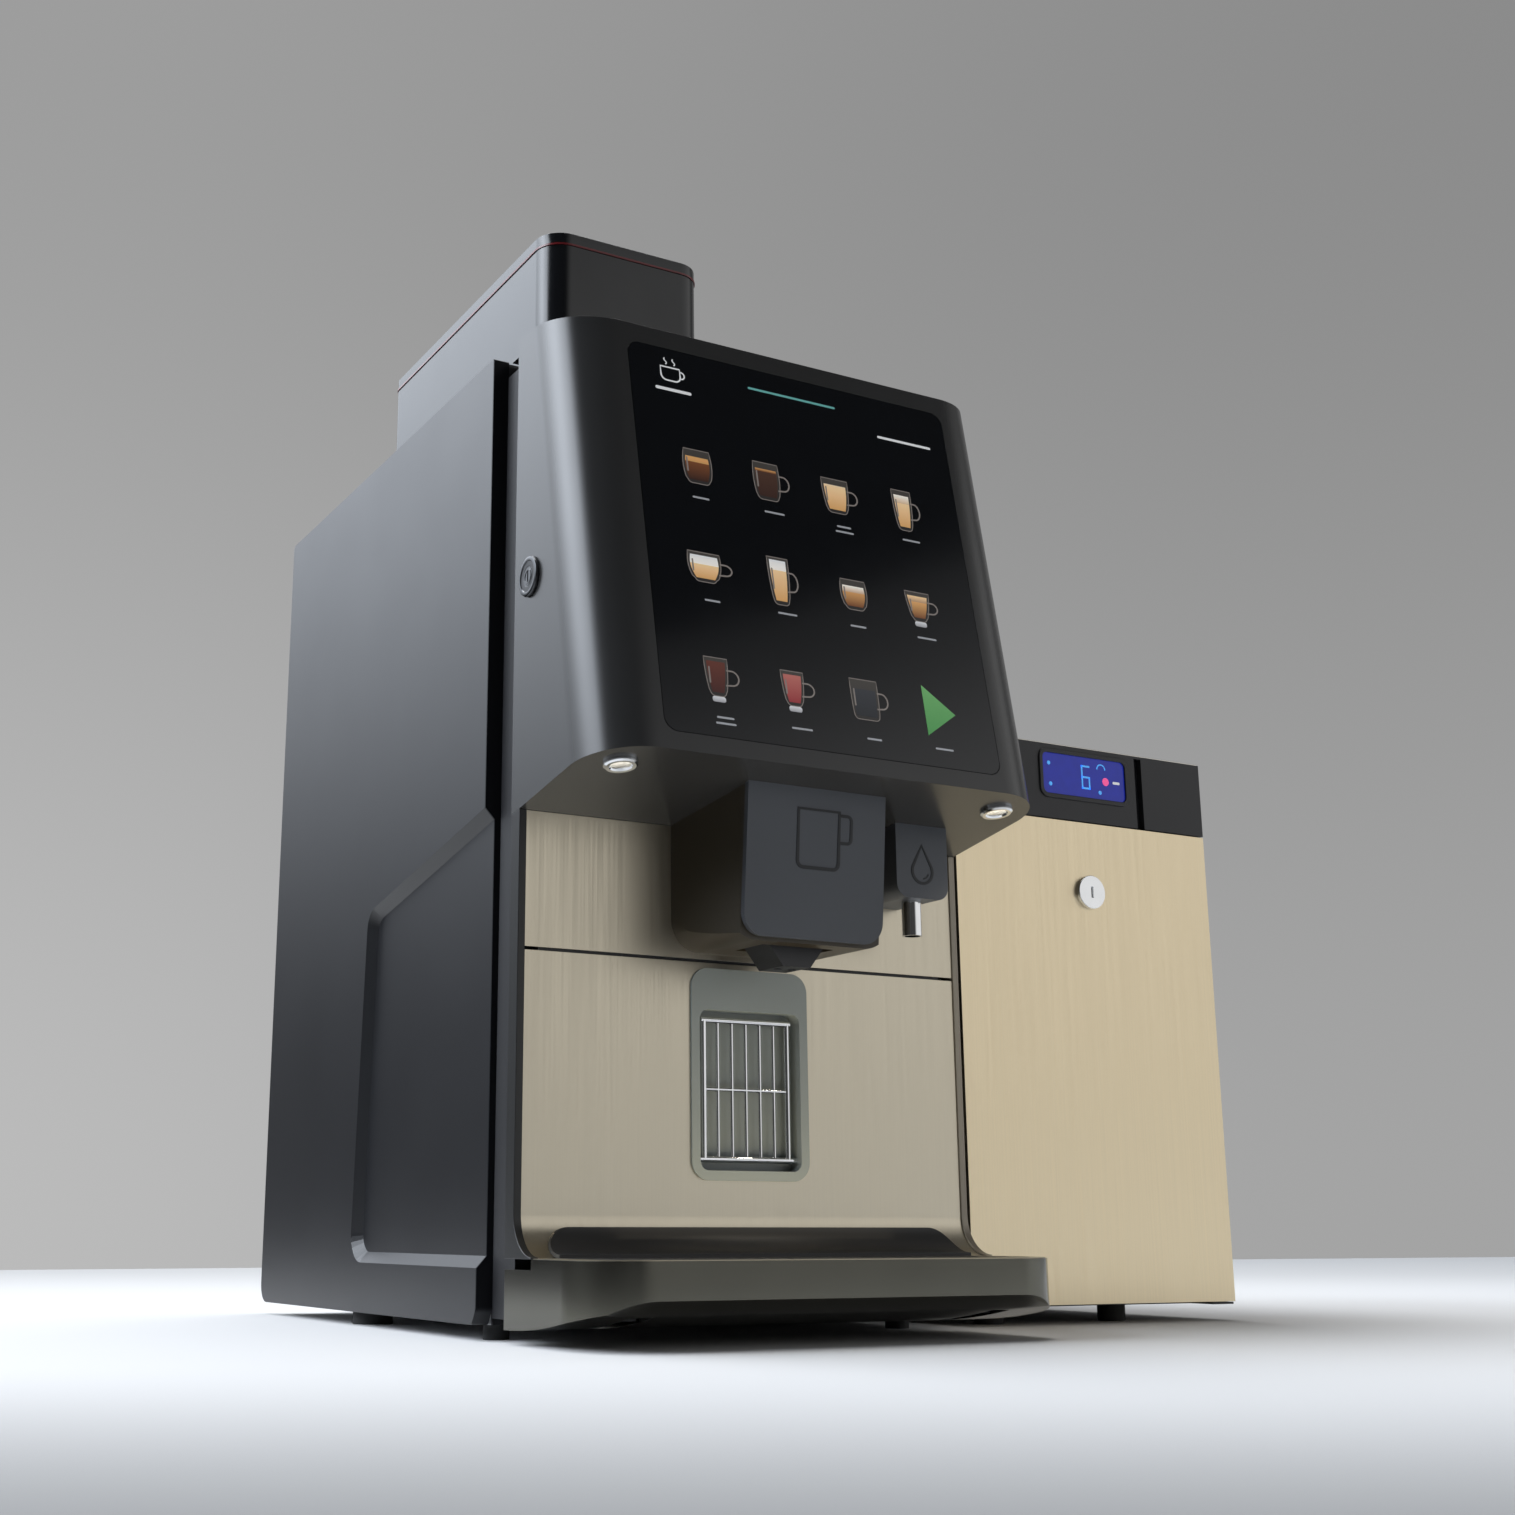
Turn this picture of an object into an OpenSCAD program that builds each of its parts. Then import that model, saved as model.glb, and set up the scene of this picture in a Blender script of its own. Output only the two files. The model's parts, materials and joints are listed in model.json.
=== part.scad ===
// Table-top hot coffee vending machine with a milk cooler docked at its right side.
// Working frame: X = 0 on the cabinet's centre line, Y = 0 on the front edges of the
// side panels with the customer at -Y, Z = 0 on the table. placed() moves that frame so
// that the origin is under the middle of the whole unit.

/* [Cabinet] */
// Width over the two side panels
cabinet_w = 334; // [334:1:440]
// Depth of the side panels
cabinet_d = 416; // [416:1:540]
// Height of the side panels' top edge above the table
cabinet_top = 632; // [632:1:780]
// Clearance under the cabinet
foot_h = 9; // [8:1:14]
// Thickness of the side panels
side_t = 11; // [9:1:14]
// Depth of the embossed field in the side panels
emboss = 6.5; // [3:0.5:7]
// Thickness of folded steel sheet
sheet = 2; // [1.5:0.5:2.5]
// Recess of the rear panel behind the side panels' rear edge
rear_recess = 18; // [16:1:24]
// Width of the front frame's flange
front_flange = 18; // [14:1:22]

/* [Feet] */
// Diameter of the front feet
foot_front_dia = 16; // [12:1:24]
// Diameter of the rear feet
foot_rear_dia = 28; // [20:1:34]
// Distance of the rear feet behind the front edge
foot_rear_y = 225; // [180:1:320]

/* [Door] */
// Gap between the side panels' front edge and the door
door_gap = 4; // [4:0.5:6]
// Depth of the door's inner frame
frame_d = 31; // [28:1:36]
// How far the door's widest part stays inside the cabinet's width at each side
door_inset = 2; // [1:1:5]
// Reach of the door's lower front edge in front of the side panels
brow_y = 154; // [140:1:180]
// Height of the door's lower front edge
brow_z = 334; // [320:1:360]
// Lean of the door's face from the vertical
face_tilt = 10.3; // [6:0.1:13]
// Wall of the door shell
shell_t = 3; // [2.5:0.5:4]
// Radius of the door's front corners, seen from above
door_corner = 40; // [30:1:50]
// Thickness of the splash panels
splash_t = 2; // [1.5:0.5:3]
// Distance of the splash panels in front of the side panels
splash_y = 46; // [44:1:52]
// Height of the seam between the splash panels
seam_z = 229.5; // [228:0.5:240]
// Radius of the cove at the foot of the lower splash panel
cove_r = 25; // [18:1:28]
// Hinge pin diameter
hinge_pin = 8; // [6:1:10]
// Radial clearance of running fits
run_fit = 0.05; // [0.02:0.01:0.1]

/* [Display] */
// Width of the display glass
glass_w = 245; // [200:1:252]
// Height of the display glass along the face
glass_h = 270; // [220:1:272]
// Thickness of the display glass
glass_t = 3; // [2.5:0.5:4]
// Distance of the glass above the door's lower front edge
glass_low = 12; // [8:1:14]

/* [Outlets] */
// Width of the coffee outlet's front cover
cover_w = 101; // [90:1:112]
// Height of the coffee outlet's bottom edge
outlet_z = 236; // [234:1:260]
// Width that the outlet housing gains towards the splash panel
outlet_flare = 18; // [0:1:24]
// Width of the hot water cover
water_w = 41; // [34:1:46]
// Diameter of the hot water tube
water_dia = 13; // [10:1:15]

/* [Cup shelf] */
// Width of the fold-down shelf's frame
shelf_w = 86; // [80:1:100]
// Height of the fold-down shelf's frame
shelf_h = 131; // [125:1:133]
// Wire diameter of the shelf
shelf_wire = 4; // [3:0.5:5]

/* [Drip tray] */
// Reach of the tray in front of the side panels
tray_y = 150; // [140:1:170]
// Height of the tray's deck
deck_z = 48; // [44:1:56]
// Height of the tray's front lip above the table
lip_z = 27; // [20:1:30]
// Travel of the tray on its rails
tray_travel = 75; // [60:1:75]

/* [Bean hopper] */
// Width of the hopper
hopper_w = 130; // [110:1:130]
// Depth of the hopper
hopper_d = 300; // [260:1:300]
// Height of the hopper above the cabinet's top edge
hopper_h = 135; // [110:1:180]
// Thickness of the lid
lid_t = 8; // [6:1:12]
// Wall of the hopper
hopper_t = 3; // [2:0.5:4]

/* [Milk cooler] */
// Width of the cooler
cooler_w = 242; // [220:1:290]
// Depth of the cooler behind the side panels' front edge
cooler_d = 400; // [380:1:480]
// Height of the cooler's top
cooler_top = 420; // [400:1:500]
// Gap between the cabinet and the cooler
cooler_gap = 33; // [28:1:60]
// Distance of the cooler's front before the side panels' front edge
cooler_y = 5; // [2:1:8]
// Clearance under the cooler
cooler_foot = 11.5; // [9:0.5:16]
// Height of the black control band
band_h = 57; // [50:1:60]
// Thickness of the insulated walls
cooler_wall = 24; // [20:1:26]

/* [Hidden] */
$fn = 48;

half_w = cabinet_w / 2;
inner_w = half_w - side_t;
rear_y = cabinet_d - rear_recess;
panel_z = cabinet_top - 4;
cooler_x0 = half_w + cooler_gap;
cooler_x1 = cooler_x0 + cooler_w;
unit_back = max(cabinet_d, cooler_d);
centre_x = (cooler_x1 - half_w) / 2;
centre_y = (unit_back - brow_y) / 2;

// Colours of the outside
graphite = "#2b303a";
door_grey = "#33363b";
champagne = "#b9ad92";
black = "#141517";
steel = "#aeb2b6";
chrome = "#d9dcdf";

// ---- Helpers ------------------------------------------------------------------------

module placed() translate([-centre_x, -centre_y, 0]) children();

module block(lo, hi) translate(lo) cube(hi - lo);

module rod_x(r, x0, x1, y, z) translate([x0, y, z]) rotate([0, 90, 0]) cylinder(r = r, h = x1 - x0);

module rod_y(r, y0, y1, x, z) translate([x, y1, z]) rotate([90, 0, 0]) cylinder(r = r, h = y1 - y0);

module rod_z(r, z0, z1, x, y) translate([x, y, z0]) cylinder(r = r, h = z1 - z0);

// A flat rounded rectangle between two corners
module rounded(lo, hi, r) {
    translate([lo[0] + r, lo[1]]) square([hi[0] - lo[0] - 2 * r, hi[1] - lo[1]]);
    translate([lo[0], lo[1] + r]) square([hi[0] - lo[0], hi[1] - lo[1] - 2 * r]);
    for (x = [lo[0] + r, hi[0] - r], y = [lo[1] + r, hi[1] - r]) translate([x, y]) circle(r);
}

// The same with square corners at the high end of its second axis
module rounded_low(lo, hi, r) {
    rounded(lo, [hi[0], lo[1] + 3 * r], r);
    translate([lo[0], lo[1] + r]) square([hi[0] - lo[0], hi[1] - lo[1] - r]);
}

// Extrudes an X-Z drawing from y0 to y1
module from_front(y0, y1) translate([0, y1, 0]) rotate([90, 0, 0]) linear_extrude(y1 - y0) children();

// Extrudes a Y-Z drawing from x0 to x1
module from_side(x0, x1) translate([x0, 0, 0]) rotate([90, 0, 90]) linear_extrude(x1 - x0) children();

// Extrudes an X-Y drawing from z0 to z1
module from_above(z0, z1) translate([0, 0, z0]) linear_extrude(z1 - z0) children();

module mirrored() {
    children();
    mirror([1, 0, 0]) children();
}

// Corner arcs for outlines
function unit(v) = v / norm(v);
function turned(s, e) = e - s > 180 ? e - s - 360 : e - s < -180 ? e - s + 360 : e - s;
function corner(a, b, c, r, n) = r == 0 ? [b] :
    let (u = unit(a - b), w = unit(c - b), half = acos(u * w) / 2,
         m = b + r / sin(half) * unit(u + w),
         p = b + r / tan(half) * u - m, q = b + r / tan(half) * w - m,
         s = atan2(p[1], p[0]), sweep = turned(s, atan2(q[1], q[0])))
    [for (i = [0:n]) m + r * [cos(s + sweep * i / n), sin(s + sweep * i / n)]];
function at(p, i) = p[(i + len(p)) % len(p)];
function smooth(p, r, n = 8) =
    [for (i = [0:len(p) - 1]) each corner(at(p, i - 1), p[i], at(p, i + 1), r[i], n)];
function moved_in(p, d) = [for (i = [0:len(p) - 1])
    let (u = unit(at(p, i - 1) - p[i]), w = unit(at(p, i + 1) - p[i]))
    p[i] + d / sin(acos(u * w) / 2) * unit(u + w)];

// ---- Cabinet ------------------------------------------------------------------------

panel_corner = 14;
emboss_slope = 7;
field_low = 42;
field_top = 325;
field_back = 219;

// Corner points of the embossed field in Y and Z, open at the front edge
field = [[-10, field_low], [field_back, field_low], [field_back - 14, field_top - 40], [-10, field_top + 1]];

// Cutter for the embossed field, with sloped edges; its mouth is at X = 0 and it points to -X
module field_cutter() {
    mouth = smooth(field, [0, 20, 16, 0]);
    bed = smooth(moved_in(field, emboss_slope), [0, 13, 9, 0]);
    n = len(mouth);
    rings = [for (p = bed) [-emboss, p[0], p[1]], for (x = [0, 1], p = mouth) [x, p[0], p[1]]];
    walls = [for (k = [0, 1], i = [0:n - 1]) let (j = (i + 1) % n)
        [k * n + i, (k + 1) * n + i, (k + 1) * n + j, k * n + j]];
    polyhedron(rings, concat([[for (i = [0:n - 1]) i]], walls, [[for (i = [n - 1:-1:0]) 2 * n + i]]));
}

module side_panel_left() color(graphite) placed() mirror([1, 0, 0]) side_blank();

module side_panel_right() color(graphite) placed() difference() {
    side_blank();
    duct_hole(inner_w - 1, half_w + 1);
}

module side_blank() difference() {
    from_side(inner_w, half_w)
        polygon(smooth([[0, foot_h + 10], [6, foot_h], [cabinet_d, foot_h],
                        [cabinet_d, cabinet_top], [0, cabinet_top]], [3, 3, panel_corner, 4, 2]));
    translate([half_w, 0, 0]) field_cutter();
}

pan_h = 21;

module base_pan() color(steel) placed() difference() {
    block([-inner_w, sheet, foot_h], [inner_w, rear_y, foot_h + pan_h]);
    block([-inner_w + sheet, sheet - 1, foot_h + sheet],
          [inner_w - sheet, rear_y - sheet, foot_h + pan_h + 1]);
}

foot_inset = 19;
cooler_foot_dia = 20;
cooler_feet = [[cooler_x0 + 40, 30], [cooler_x1 - 89, 30],
               [cooler_x0 + 40, cooler_d - 35], [cooler_x1 - 40, cooler_d - 35]];

module feet() color(black) placed() {
    mirrored() {
        rod_z(foot_front_dia / 2, 0, foot_h, half_w - foot_inset, 12);
        rod_z(foot_rear_dia / 2, 0, foot_h, half_w - foot_inset - 2, foot_rear_y);
    }
    for (p = cooler_feet) rod_z(cooler_foot_dia / 2, 0, cooler_foot, p[0], p[1]);
}

lock_y = 58;
lock_z = 460;
lock_ring_r = 13;
lock_body_r = 9.5;
lock_plug_r = 6;
strike_x = half_w - 30;
strike_t = 2.5;
lip_w = 8;

// The frame round the cabinet's mouth, with the strike that the door's lock catches
module front_frame() color(steel) placed() {
    difference() {
        block([-inner_w, 0, foot_h], [inner_w, sheet, panel_z]);
        block([-inner_w + front_flange, -1, foot_h + 36], [inner_w - front_flange, sheet + 1, panel_z - 20]);
    }
    block([-strike_x, -lock_y - 14, lock_z + 15], [-strike_x + strike_t, 0, lock_z + 33]);
    block([-strike_x - lip_w, -lock_y - 14, lock_z + 15], [-strike_x, -lock_y - 11, lock_z + 33]);
    block([-inner_w + front_flange - 1, 0, lock_z + 15], [-strike_x + strike_t, sheet, lock_z + 33]);
}

module door_seal() color(black) placed() difference() {
    block([-inner_w + 5, -door_gap + 1, foot_h + 15], [inner_w - 5, 0, panel_z - 16]);
    block([-inner_w + 11, -door_gap, foot_h + 21], [inner_w - 11, 1, panel_z - 22]);
}

fan_x = 82;
fan_z = 190;
fan_size = 80;
inlet_x = -100;
inlet_z = 96;
valve_x = -100;
valve_z = 52;
valve_r = 13.2;
valve_len = 14;
neck_r = valve_r - 1;
collar_t = 2;

module rear_panel() color(steel) placed() difference() {
    block([-inner_w, rear_y - sheet, foot_h + pan_h], [inner_w, rear_y, panel_z]);
    for (i = [-4:4])
        block([fan_x - 34, rear_y - sheet - 1, fan_z + i * 8 - 2],
              [fan_x + 34, rear_y + 1, fan_z + i * 8 + 2]);
    for (i = [0:7]) block([-70, rear_y - sheet - 1, 480 + i * 12], [70, rear_y + 1, 484 + i * 12]);
    block([inlet_x - 23, rear_y - sheet - 1, inlet_z - 13], [inlet_x + 23, rear_y + 1, inlet_z + 13]);
    rod_y(neck_r + 0.4, rear_y - sheet - 1, rear_y + 1, valve_x, valve_z);
}

hopper_x = -42;
hopper_y = 45;
throat_r = 25;
throat_y = 150;

module top_panel() color(steel) placed() difference() {
    block([-inner_w, 0, panel_z], [inner_w, rear_y, panel_z + sheet]);
    rod_z(throat_r + 4, panel_z - 1, panel_z + sheet + 1, hopper_x, throat_y);
}

bulk_y = 236;

module bulkhead() color(steel) placed() difference() {
    block([-inner_w, bulk_y, foot_h + pan_h], [inner_w, bulk_y + sheet, panel_z]);
    block([-130, bulk_y - 1, 70], [-60, bulk_y + sheet + 1, 110]);
}

hinge_x = half_w - 13;
hinge_y = -25;
bracket_t = 3;
hinge_low = foot_h;
hinge_high = panel_z - 9;

// Two plates fixed to the front frame, each with the pin that the door turns on
module hinge_brackets() color(steel) placed() {
    for (z = [hinge_low, hinge_high]) block([hinge_x - 14, hinge_y - 8, z], [hinge_x + 4, 0, z + bracket_t]);
    rod_z(hinge_pin / 2, hinge_low + bracket_t, hinge_low + bracket_t + 12, hinge_x, hinge_y);
    rod_z(hinge_pin / 2, hinge_high - 12, hinge_high, hinge_x, hinge_y);
}

// ---- Bean hopper --------------------------------------------------------------------

hopper_z = panel_z + sheet;
rim_z = cabinet_top + hopper_h - lid_t;
hopper_hinge_y = hopper_y + hopper_d + 5;

module hopper_plan(wall) {
    r = 20 - wall;
    x = hopper_w / 2 - wall;
    translate([hopper_x, hopper_y]) polygon(smooth(
        [[-x, wall], [x, wall], [x, hopper_d - wall], [-x, hopper_d - wall]], [r, r, r / 2, r / 2]));
}

module bean_hopper() color("#20242b", 0.9) placed() {
    difference() {
        from_above(hopper_z, rim_z) hopper_plan(0);
        from_above(hopper_z + 30, rim_z + 1) hopper_plan(hopper_t);
        translate([hopper_x, throat_y, hopper_z + 8]) cylinder(r1 = throat_r, r2 = 58, h = 22.01);
        rod_z(throat_r, hopper_z - 1, hopper_z + 9, hopper_x, throat_y);
    }
    difference() {
        rod_z(throat_r + 3, hopper_z - 17, hopper_z, hopper_x, throat_y);
        rod_z(throat_r, hopper_z - 18, hopper_z + 1, hopper_x, throat_y);
    }
    for (x = [-30, 10]) {
        rod_x(4, hopper_x + x, hopper_x + x + 20, hopper_hinge_y, rim_z - 0.5);
        block([hopper_x + x, hopper_y + hopper_d, rim_z - 8], [hopper_x + x + 20, hopper_hinge_y, rim_z - 3]);
    }
    rod_x(2, hopper_x - 50, hopper_x + 50, hopper_hinge_y, rim_z - 0.5);
}

// The lid turns on the hopper's rear pin
module hopper_lid() color("#23272e") placed() {
    from_above(rim_z, rim_z + lid_t) hopper_plan(0);
    for (x = [-50, 30.5]) difference() {
        union() {
            rod_x(4, hopper_x + x, hopper_x + x + 19.5, hopper_hinge_y, rim_z - 0.5);
            block([hopper_x + x, hopper_y + hopper_d - 1, rim_z],
                  [hopper_x + x + 19.5, hopper_hinge_y, rim_z + 4]);
        }
        rod_x(2 + run_fit, hopper_x + x - 1, hopper_x + x + 21, hopper_hinge_y, rim_z - 0.5);
    }
}

gate_z = hopper_z - 21;

// The shutter slides forwards to close the throat
module hopper_gate() color(black) placed() difference() {
    union() {
        block([hopper_x - 31, 70, gate_z], [hopper_x + 31, bulk_y - 3, gate_z + 3.5]);
        block([hopper_x - 15, 62, gate_z - 14], [hopper_x + 15, 70, gate_z + 3.5]);
    }
    rod_z(throat_r, gate_z - 1, gate_z + 5, hopper_x, throat_y);
}

// ---- Grinder and brewer -------------------------------------------------------------

grinder_top = gate_z - 0.5;
grinder_r = 46;
chamber_z = grinder_top - 50;
burr_r = 33;
shaft_r = 4;

module grinder_housing() color("#3a3d42") placed() difference() {
    union() {
        rod_z(grinder_r, chamber_z - 16, grinder_top, hopper_x, throat_y);
        rod_z(35, chamber_z - 96, chamber_z - 16, hopper_x, throat_y);
        block([hopper_x - 40, throat_y, chamber_z - 70], [hopper_x + 40, bulk_y, chamber_z - 30]);
        block([hopper_x - 10, throat_y - grinder_r - 12, chamber_z - 120],
              [hopper_x + 10, throat_y - 30, chamber_z + 8]);
    }
    rod_z(burr_r + 3, chamber_z, chamber_z + 36, hopper_x, throat_y);
    rod_z(throat_r, chamber_z + 35, grinder_top + 1, hopper_x, throat_y);
    rod_z(shaft_r + run_fit, chamber_z - 30, chamber_z + 1, hopper_x, throat_y);
    block([hopper_x - 7, throat_y - grinder_r - 9, chamber_z - 121],
          [hopper_x + 7, throat_y - grinder_r + 4, chamber_z + 5]);
    block([hopper_x - 7, throat_y - grinder_r - 5, chamber_z + 0.01],
          [hopper_x + 7, throat_y - 30, chamber_z + 5]);
}

module grinder_burr() color(chrome) placed() {
    rod_z(shaft_r, chamber_z - 25, chamber_z + 2, hopper_x, throat_y);
    rod_z(burr_r, chamber_z + 2, chamber_z + 10, hopper_x, throat_y);
    translate([hopper_x, throat_y, chamber_z + 10]) cylinder(r1 = burr_r - 5, r2 = 10, h = 22);
}

brew_y = throat_y - grinder_r - 7;
brew_z = 250;
brew_r = 24;
ram_r = 6;

module brewer_frame() color("#c9ccd0") placed() difference() {
    union() {
        block([hopper_x - 48, brew_y - 40, brew_z], [hopper_x + 48, brew_y + 40, brew_z + 8]);
        block([hopper_x - 48, brew_y - 40, brew_z + 8], [hopper_x - 40, brew_y + 40, brew_z + 120]);
        block([hopper_x + 40, brew_y - 40, brew_z + 8], [hopper_x + 48, brew_y + 40, brew_z + 120]);
        block([hopper_x - 40, brew_y - 20, brew_z + 60], [hopper_x + 40, brew_y + 20, brew_z + 68]);
        rod_z(brew_r + 5, brew_z + 60, brew_z + 120, hopper_x, brew_y);
        block([hopper_x - 30, brew_y + 40, brew_z + 20], [hopper_x + 30, bulk_y, brew_z + 50]);
        block([hopper_x - 48, brew_y + 40, brew_z], [hopper_x + 48, brew_y + 44, brew_z + 60]);
    }
    rod_z(brew_r, brew_z + 68, brew_z + 121, hopper_x, brew_y);
    rod_z(ram_r + run_fit, brew_z - 1, brew_z + 69, hopper_x, brew_y);
}

module brewer_piston() color(steel) placed() {
    rod_z(ram_r, brew_z - 30, brew_z + 72, hopper_x, brew_y);
    rod_z(brew_r - run_fit, brew_z + 72, brew_z + 82, hopper_x, brew_y);
}

bin_lo = [-145, 18, foot_h + sheet];
bin_hi = [35, 190, 205];

module grounds_bin() color("#2a2c30") placed() difference() {
    block(bin_lo, bin_hi);
    block(bin_lo + [3, 3, 3], bin_hi + [-3, -3, 1]);
    block([-75, bin_lo[1] - 1, 165], [-35, bin_lo[1] + 4, 185]);
}

// ---- Powder side --------------------------------------------------------------------

can_w = 54;
can_x = [58, 116];
can_z = 410;
can_top = 590;
can_y = 24;
auger_r = 9;
auger_z = can_z + 13;
bowl_y = 44;
bowl_z = 330;
bowl_r = 22;
bowl_t = 2;
journal_r = 4;
spindle_r = 3;

module canisters() color("#e7e6e1") placed() for (x = can_x) difference() {
    union() {
        block([x - can_w / 2, can_y, can_z], [x + can_w / 2, bulk_y, can_top]);
        rod_z(9, can_z - 16, can_z, x, can_y + 16);
    }
    block([x - can_w / 2 + sheet, can_y + sheet, can_z + sheet],
          [x + can_w / 2 - sheet, bulk_y - 12, can_top - sheet]);
    rod_z(7, can_z - 17, can_z + 3, x, can_y + 16);
    rod_y(journal_r + run_fit, bulk_y - 13, bulk_y - 2, x, auger_z);
}

// A screw with a round journal at its rear end
module auger(x) {
    rod_y(journal_r, bulk_y - 13, bulk_y - 3, x, auger_z);
    translate([x, bulk_y - 13, auger_z]) rotate([90, 0, 0])
        linear_extrude(bulk_y - 17 - can_y, twist = 2160, slices = 84, segments = 4)
        square([2 * auger_r, 2.5], center = true);
}

module auger_left() color(steel) placed() auger(can_x[0]);

module auger_right() color(steel) placed() auger(can_x[1]);

module mixing_bowls() color("#d8d9d6") placed() for (x = can_x) difference() {
    union() {
        rod_z(bowl_r + bowl_t, bowl_z + 12, bowl_z + 52, x, bowl_y);
        rod_y(19, bowl_y - 10, bowl_y + 26, x, bowl_z);
        rod_z(5, bowl_z - 34, bowl_z, x, bowl_y);
        block([x - 26, bowl_y + 26, bowl_z - 22], [x + 26, bowl_y + 32, bowl_z + 30]);
        block([x - 10, bowl_y + 32, bowl_z + 18], [x + 10, bulk_y, bowl_z + 30]);
    }
    rod_z(bowl_r, bowl_z + 12 + bowl_t, bowl_z + 53, x, bowl_y);
    rod_z(12, bowl_z, bowl_z + 15, x, bowl_y);
    rod_y(16, bowl_y - 7, bowl_y + 20, x, bowl_z);
    rod_z(3.5, bowl_z - 35, bowl_z, x, bowl_y);
    rod_y(spindle_r + run_fit, bowl_y + 19, bowl_y + 33, x, bowl_z);
}

module whipper(x) {
    rod_y(spindle_r, bowl_y + 8, bowl_y + 60, x, bowl_z);
    rod_y(13, bowl_y + 4, bowl_y + 8, x, bowl_z);
    for (a = [0:60:300])
        translate([x, bowl_y + 2, bowl_z]) rotate([0, a, 0]) translate([5, 0, -1]) cube([7, 3, 2]);
    rod_y(15, bowl_y + 34, bowl_y + 60, x, bowl_z);
}

module whipper_left() color("#4a4d52") placed() whipper(can_x[0]);

module whipper_right() color("#4a4d52") placed() whipper(can_x[1]);

hose_r = 4.5;
hose_z = 285;

// Silicone pipes from the brewer and the mixing bowls to the couplings behind the door
module product_hoses() color("#d9dad8") placed() {
    for (x = can_x) {
        difference() {
            union() {
                rod_z(hose_r + 2.5, hose_z - 6, bowl_z - 30, x, bowl_y);
                rod_y(hose_r, -2, bowl_y, x, hose_z);
            }
            rod_z(5, bowl_z - 36, bowl_z, x, bowl_y);
        }
    }
    rod_y(hose_r, -2, brew_y - 34, hopper_x, hose_z);
    rod_z(hose_r, hose_z - hose_r, brew_z + 80 + hose_r, hopper_x, brew_y - 37);
    rod_y(hose_r, brew_y - 37, brew_y - 29, hopper_x, brew_z + 80);
}

// ---- Rear compartment ---------------------------------------------------------------

boiler_r = 52;
boiler_x = -75;
boiler_y = 310;
boiler_z = 330;
boiler_top = 500;
boiler_dome = 14;

module boiler() color("#b8bbbe") placed() {
    rod_z(boiler_r, boiler_z, boiler_top, boiler_x, boiler_y);
    translate([boiler_x, boiler_y, boiler_top]) cylinder(r1 = boiler_r, r2 = 30, h = boiler_dome);
    for (z = [boiler_z + 15, boiler_top - 30])
        block([boiler_x - 30, bulk_y + sheet, z], [boiler_x + 30, boiler_y - boiler_r + 4, z + 14]);
    for (x = [-15, 15]) rod_z(5, boiler_top + boiler_dome, boiler_top + 40, boiler_x + x, boiler_y);
}

pump_x = 55;
pump_z = foot_h + sheet + 32;

module pump() color("#70757b") placed() {
    block([pump_x - 35, 280, foot_h + sheet], [pump_x + 35, 340, foot_h + sheet + 6]);
    rod_y(26, 270, 330, pump_x, pump_z);
    rod_y(17, 330, 372, pump_x, pump_z);
    rod_x(6, pump_x + 26, pump_x + 45, 300, pump_z);
}

module fan_frame() color(black) placed() {
    lo = [fan_x - fan_size / 2, rear_y - sheet - 22, fan_z - fan_size / 2];
    difference() {
        block(lo, [fan_x + fan_size / 2, rear_y - sheet, fan_z + fan_size / 2]);
        rod_y(37, lo[1] - 1, rear_y, fan_x, fan_z);
    }
    for (a = [0, 90]) translate([fan_x, 0, fan_z]) rotate([0, a + 45, 0])
        block([-37.5, rear_y - sheet - 4, -2], [37.5, rear_y - sheet, 2]);
    rod_y(14, rear_y - sheet - 4, rear_y - sheet, fan_x, fan_z);
    rod_y(2, rear_y - sheet - 18, rear_y - sheet - 4, fan_x, fan_z);
}

module fan_rotor() color("#26282b") placed() translate([fan_x, rear_y - sheet - 17, fan_z]) difference() {
    union() {
        rod_y(14, 0, 12, 0, 0);
        for (a = [0:72:288])
            rotate([0, a, 0]) translate([12, 6, 0]) rotate([38, 0, 0]) translate([0, -0.8, -8])
                cube([22, 1.6, 16]);
    }
    rod_y(2 + run_fit, -1, 13, 0, 0);
}

switch_r = 8;

// Appliance socket and switch housing in the rear panel
module mains_inlet() color(black) placed() difference() {
    union() {
        block([inlet_x - 23, rear_y - 24, inlet_z - 13], [inlet_x + 23, rear_y, inlet_z + 13]);
        block([inlet_x - 27, rear_y, inlet_z - 16], [inlet_x + 27, rear_y + 2.5, inlet_z + 16]);
    }
    block([inlet_x - 19, rear_y - 16, inlet_z - 9], [inlet_x + 5, rear_y + 3, inlet_z + 9]);
    rod_x(switch_r + 0.3, inlet_x + 9, inlet_x + 19, rear_y - 4, inlet_z);
    rod_x(1.5 + run_fit, inlet_x + 7, inlet_x + 21, rear_y - 4, inlet_z);
}

module power_switch() color("#a32b25") placed() {
    difference() {
        rod_x(switch_r, inlet_x + 9.3, inlet_x + 18.7, rear_y - 4, inlet_z);
        block([inlet_x + 8, rear_y + 0.5, inlet_z - 0.5], [inlet_x + 20, rear_y + 8, inlet_z + 9]);
    }
    rod_x(1.5, inlet_x + 7.3, inlet_x + 20.7, rear_y - 4, inlet_z);
}

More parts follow.
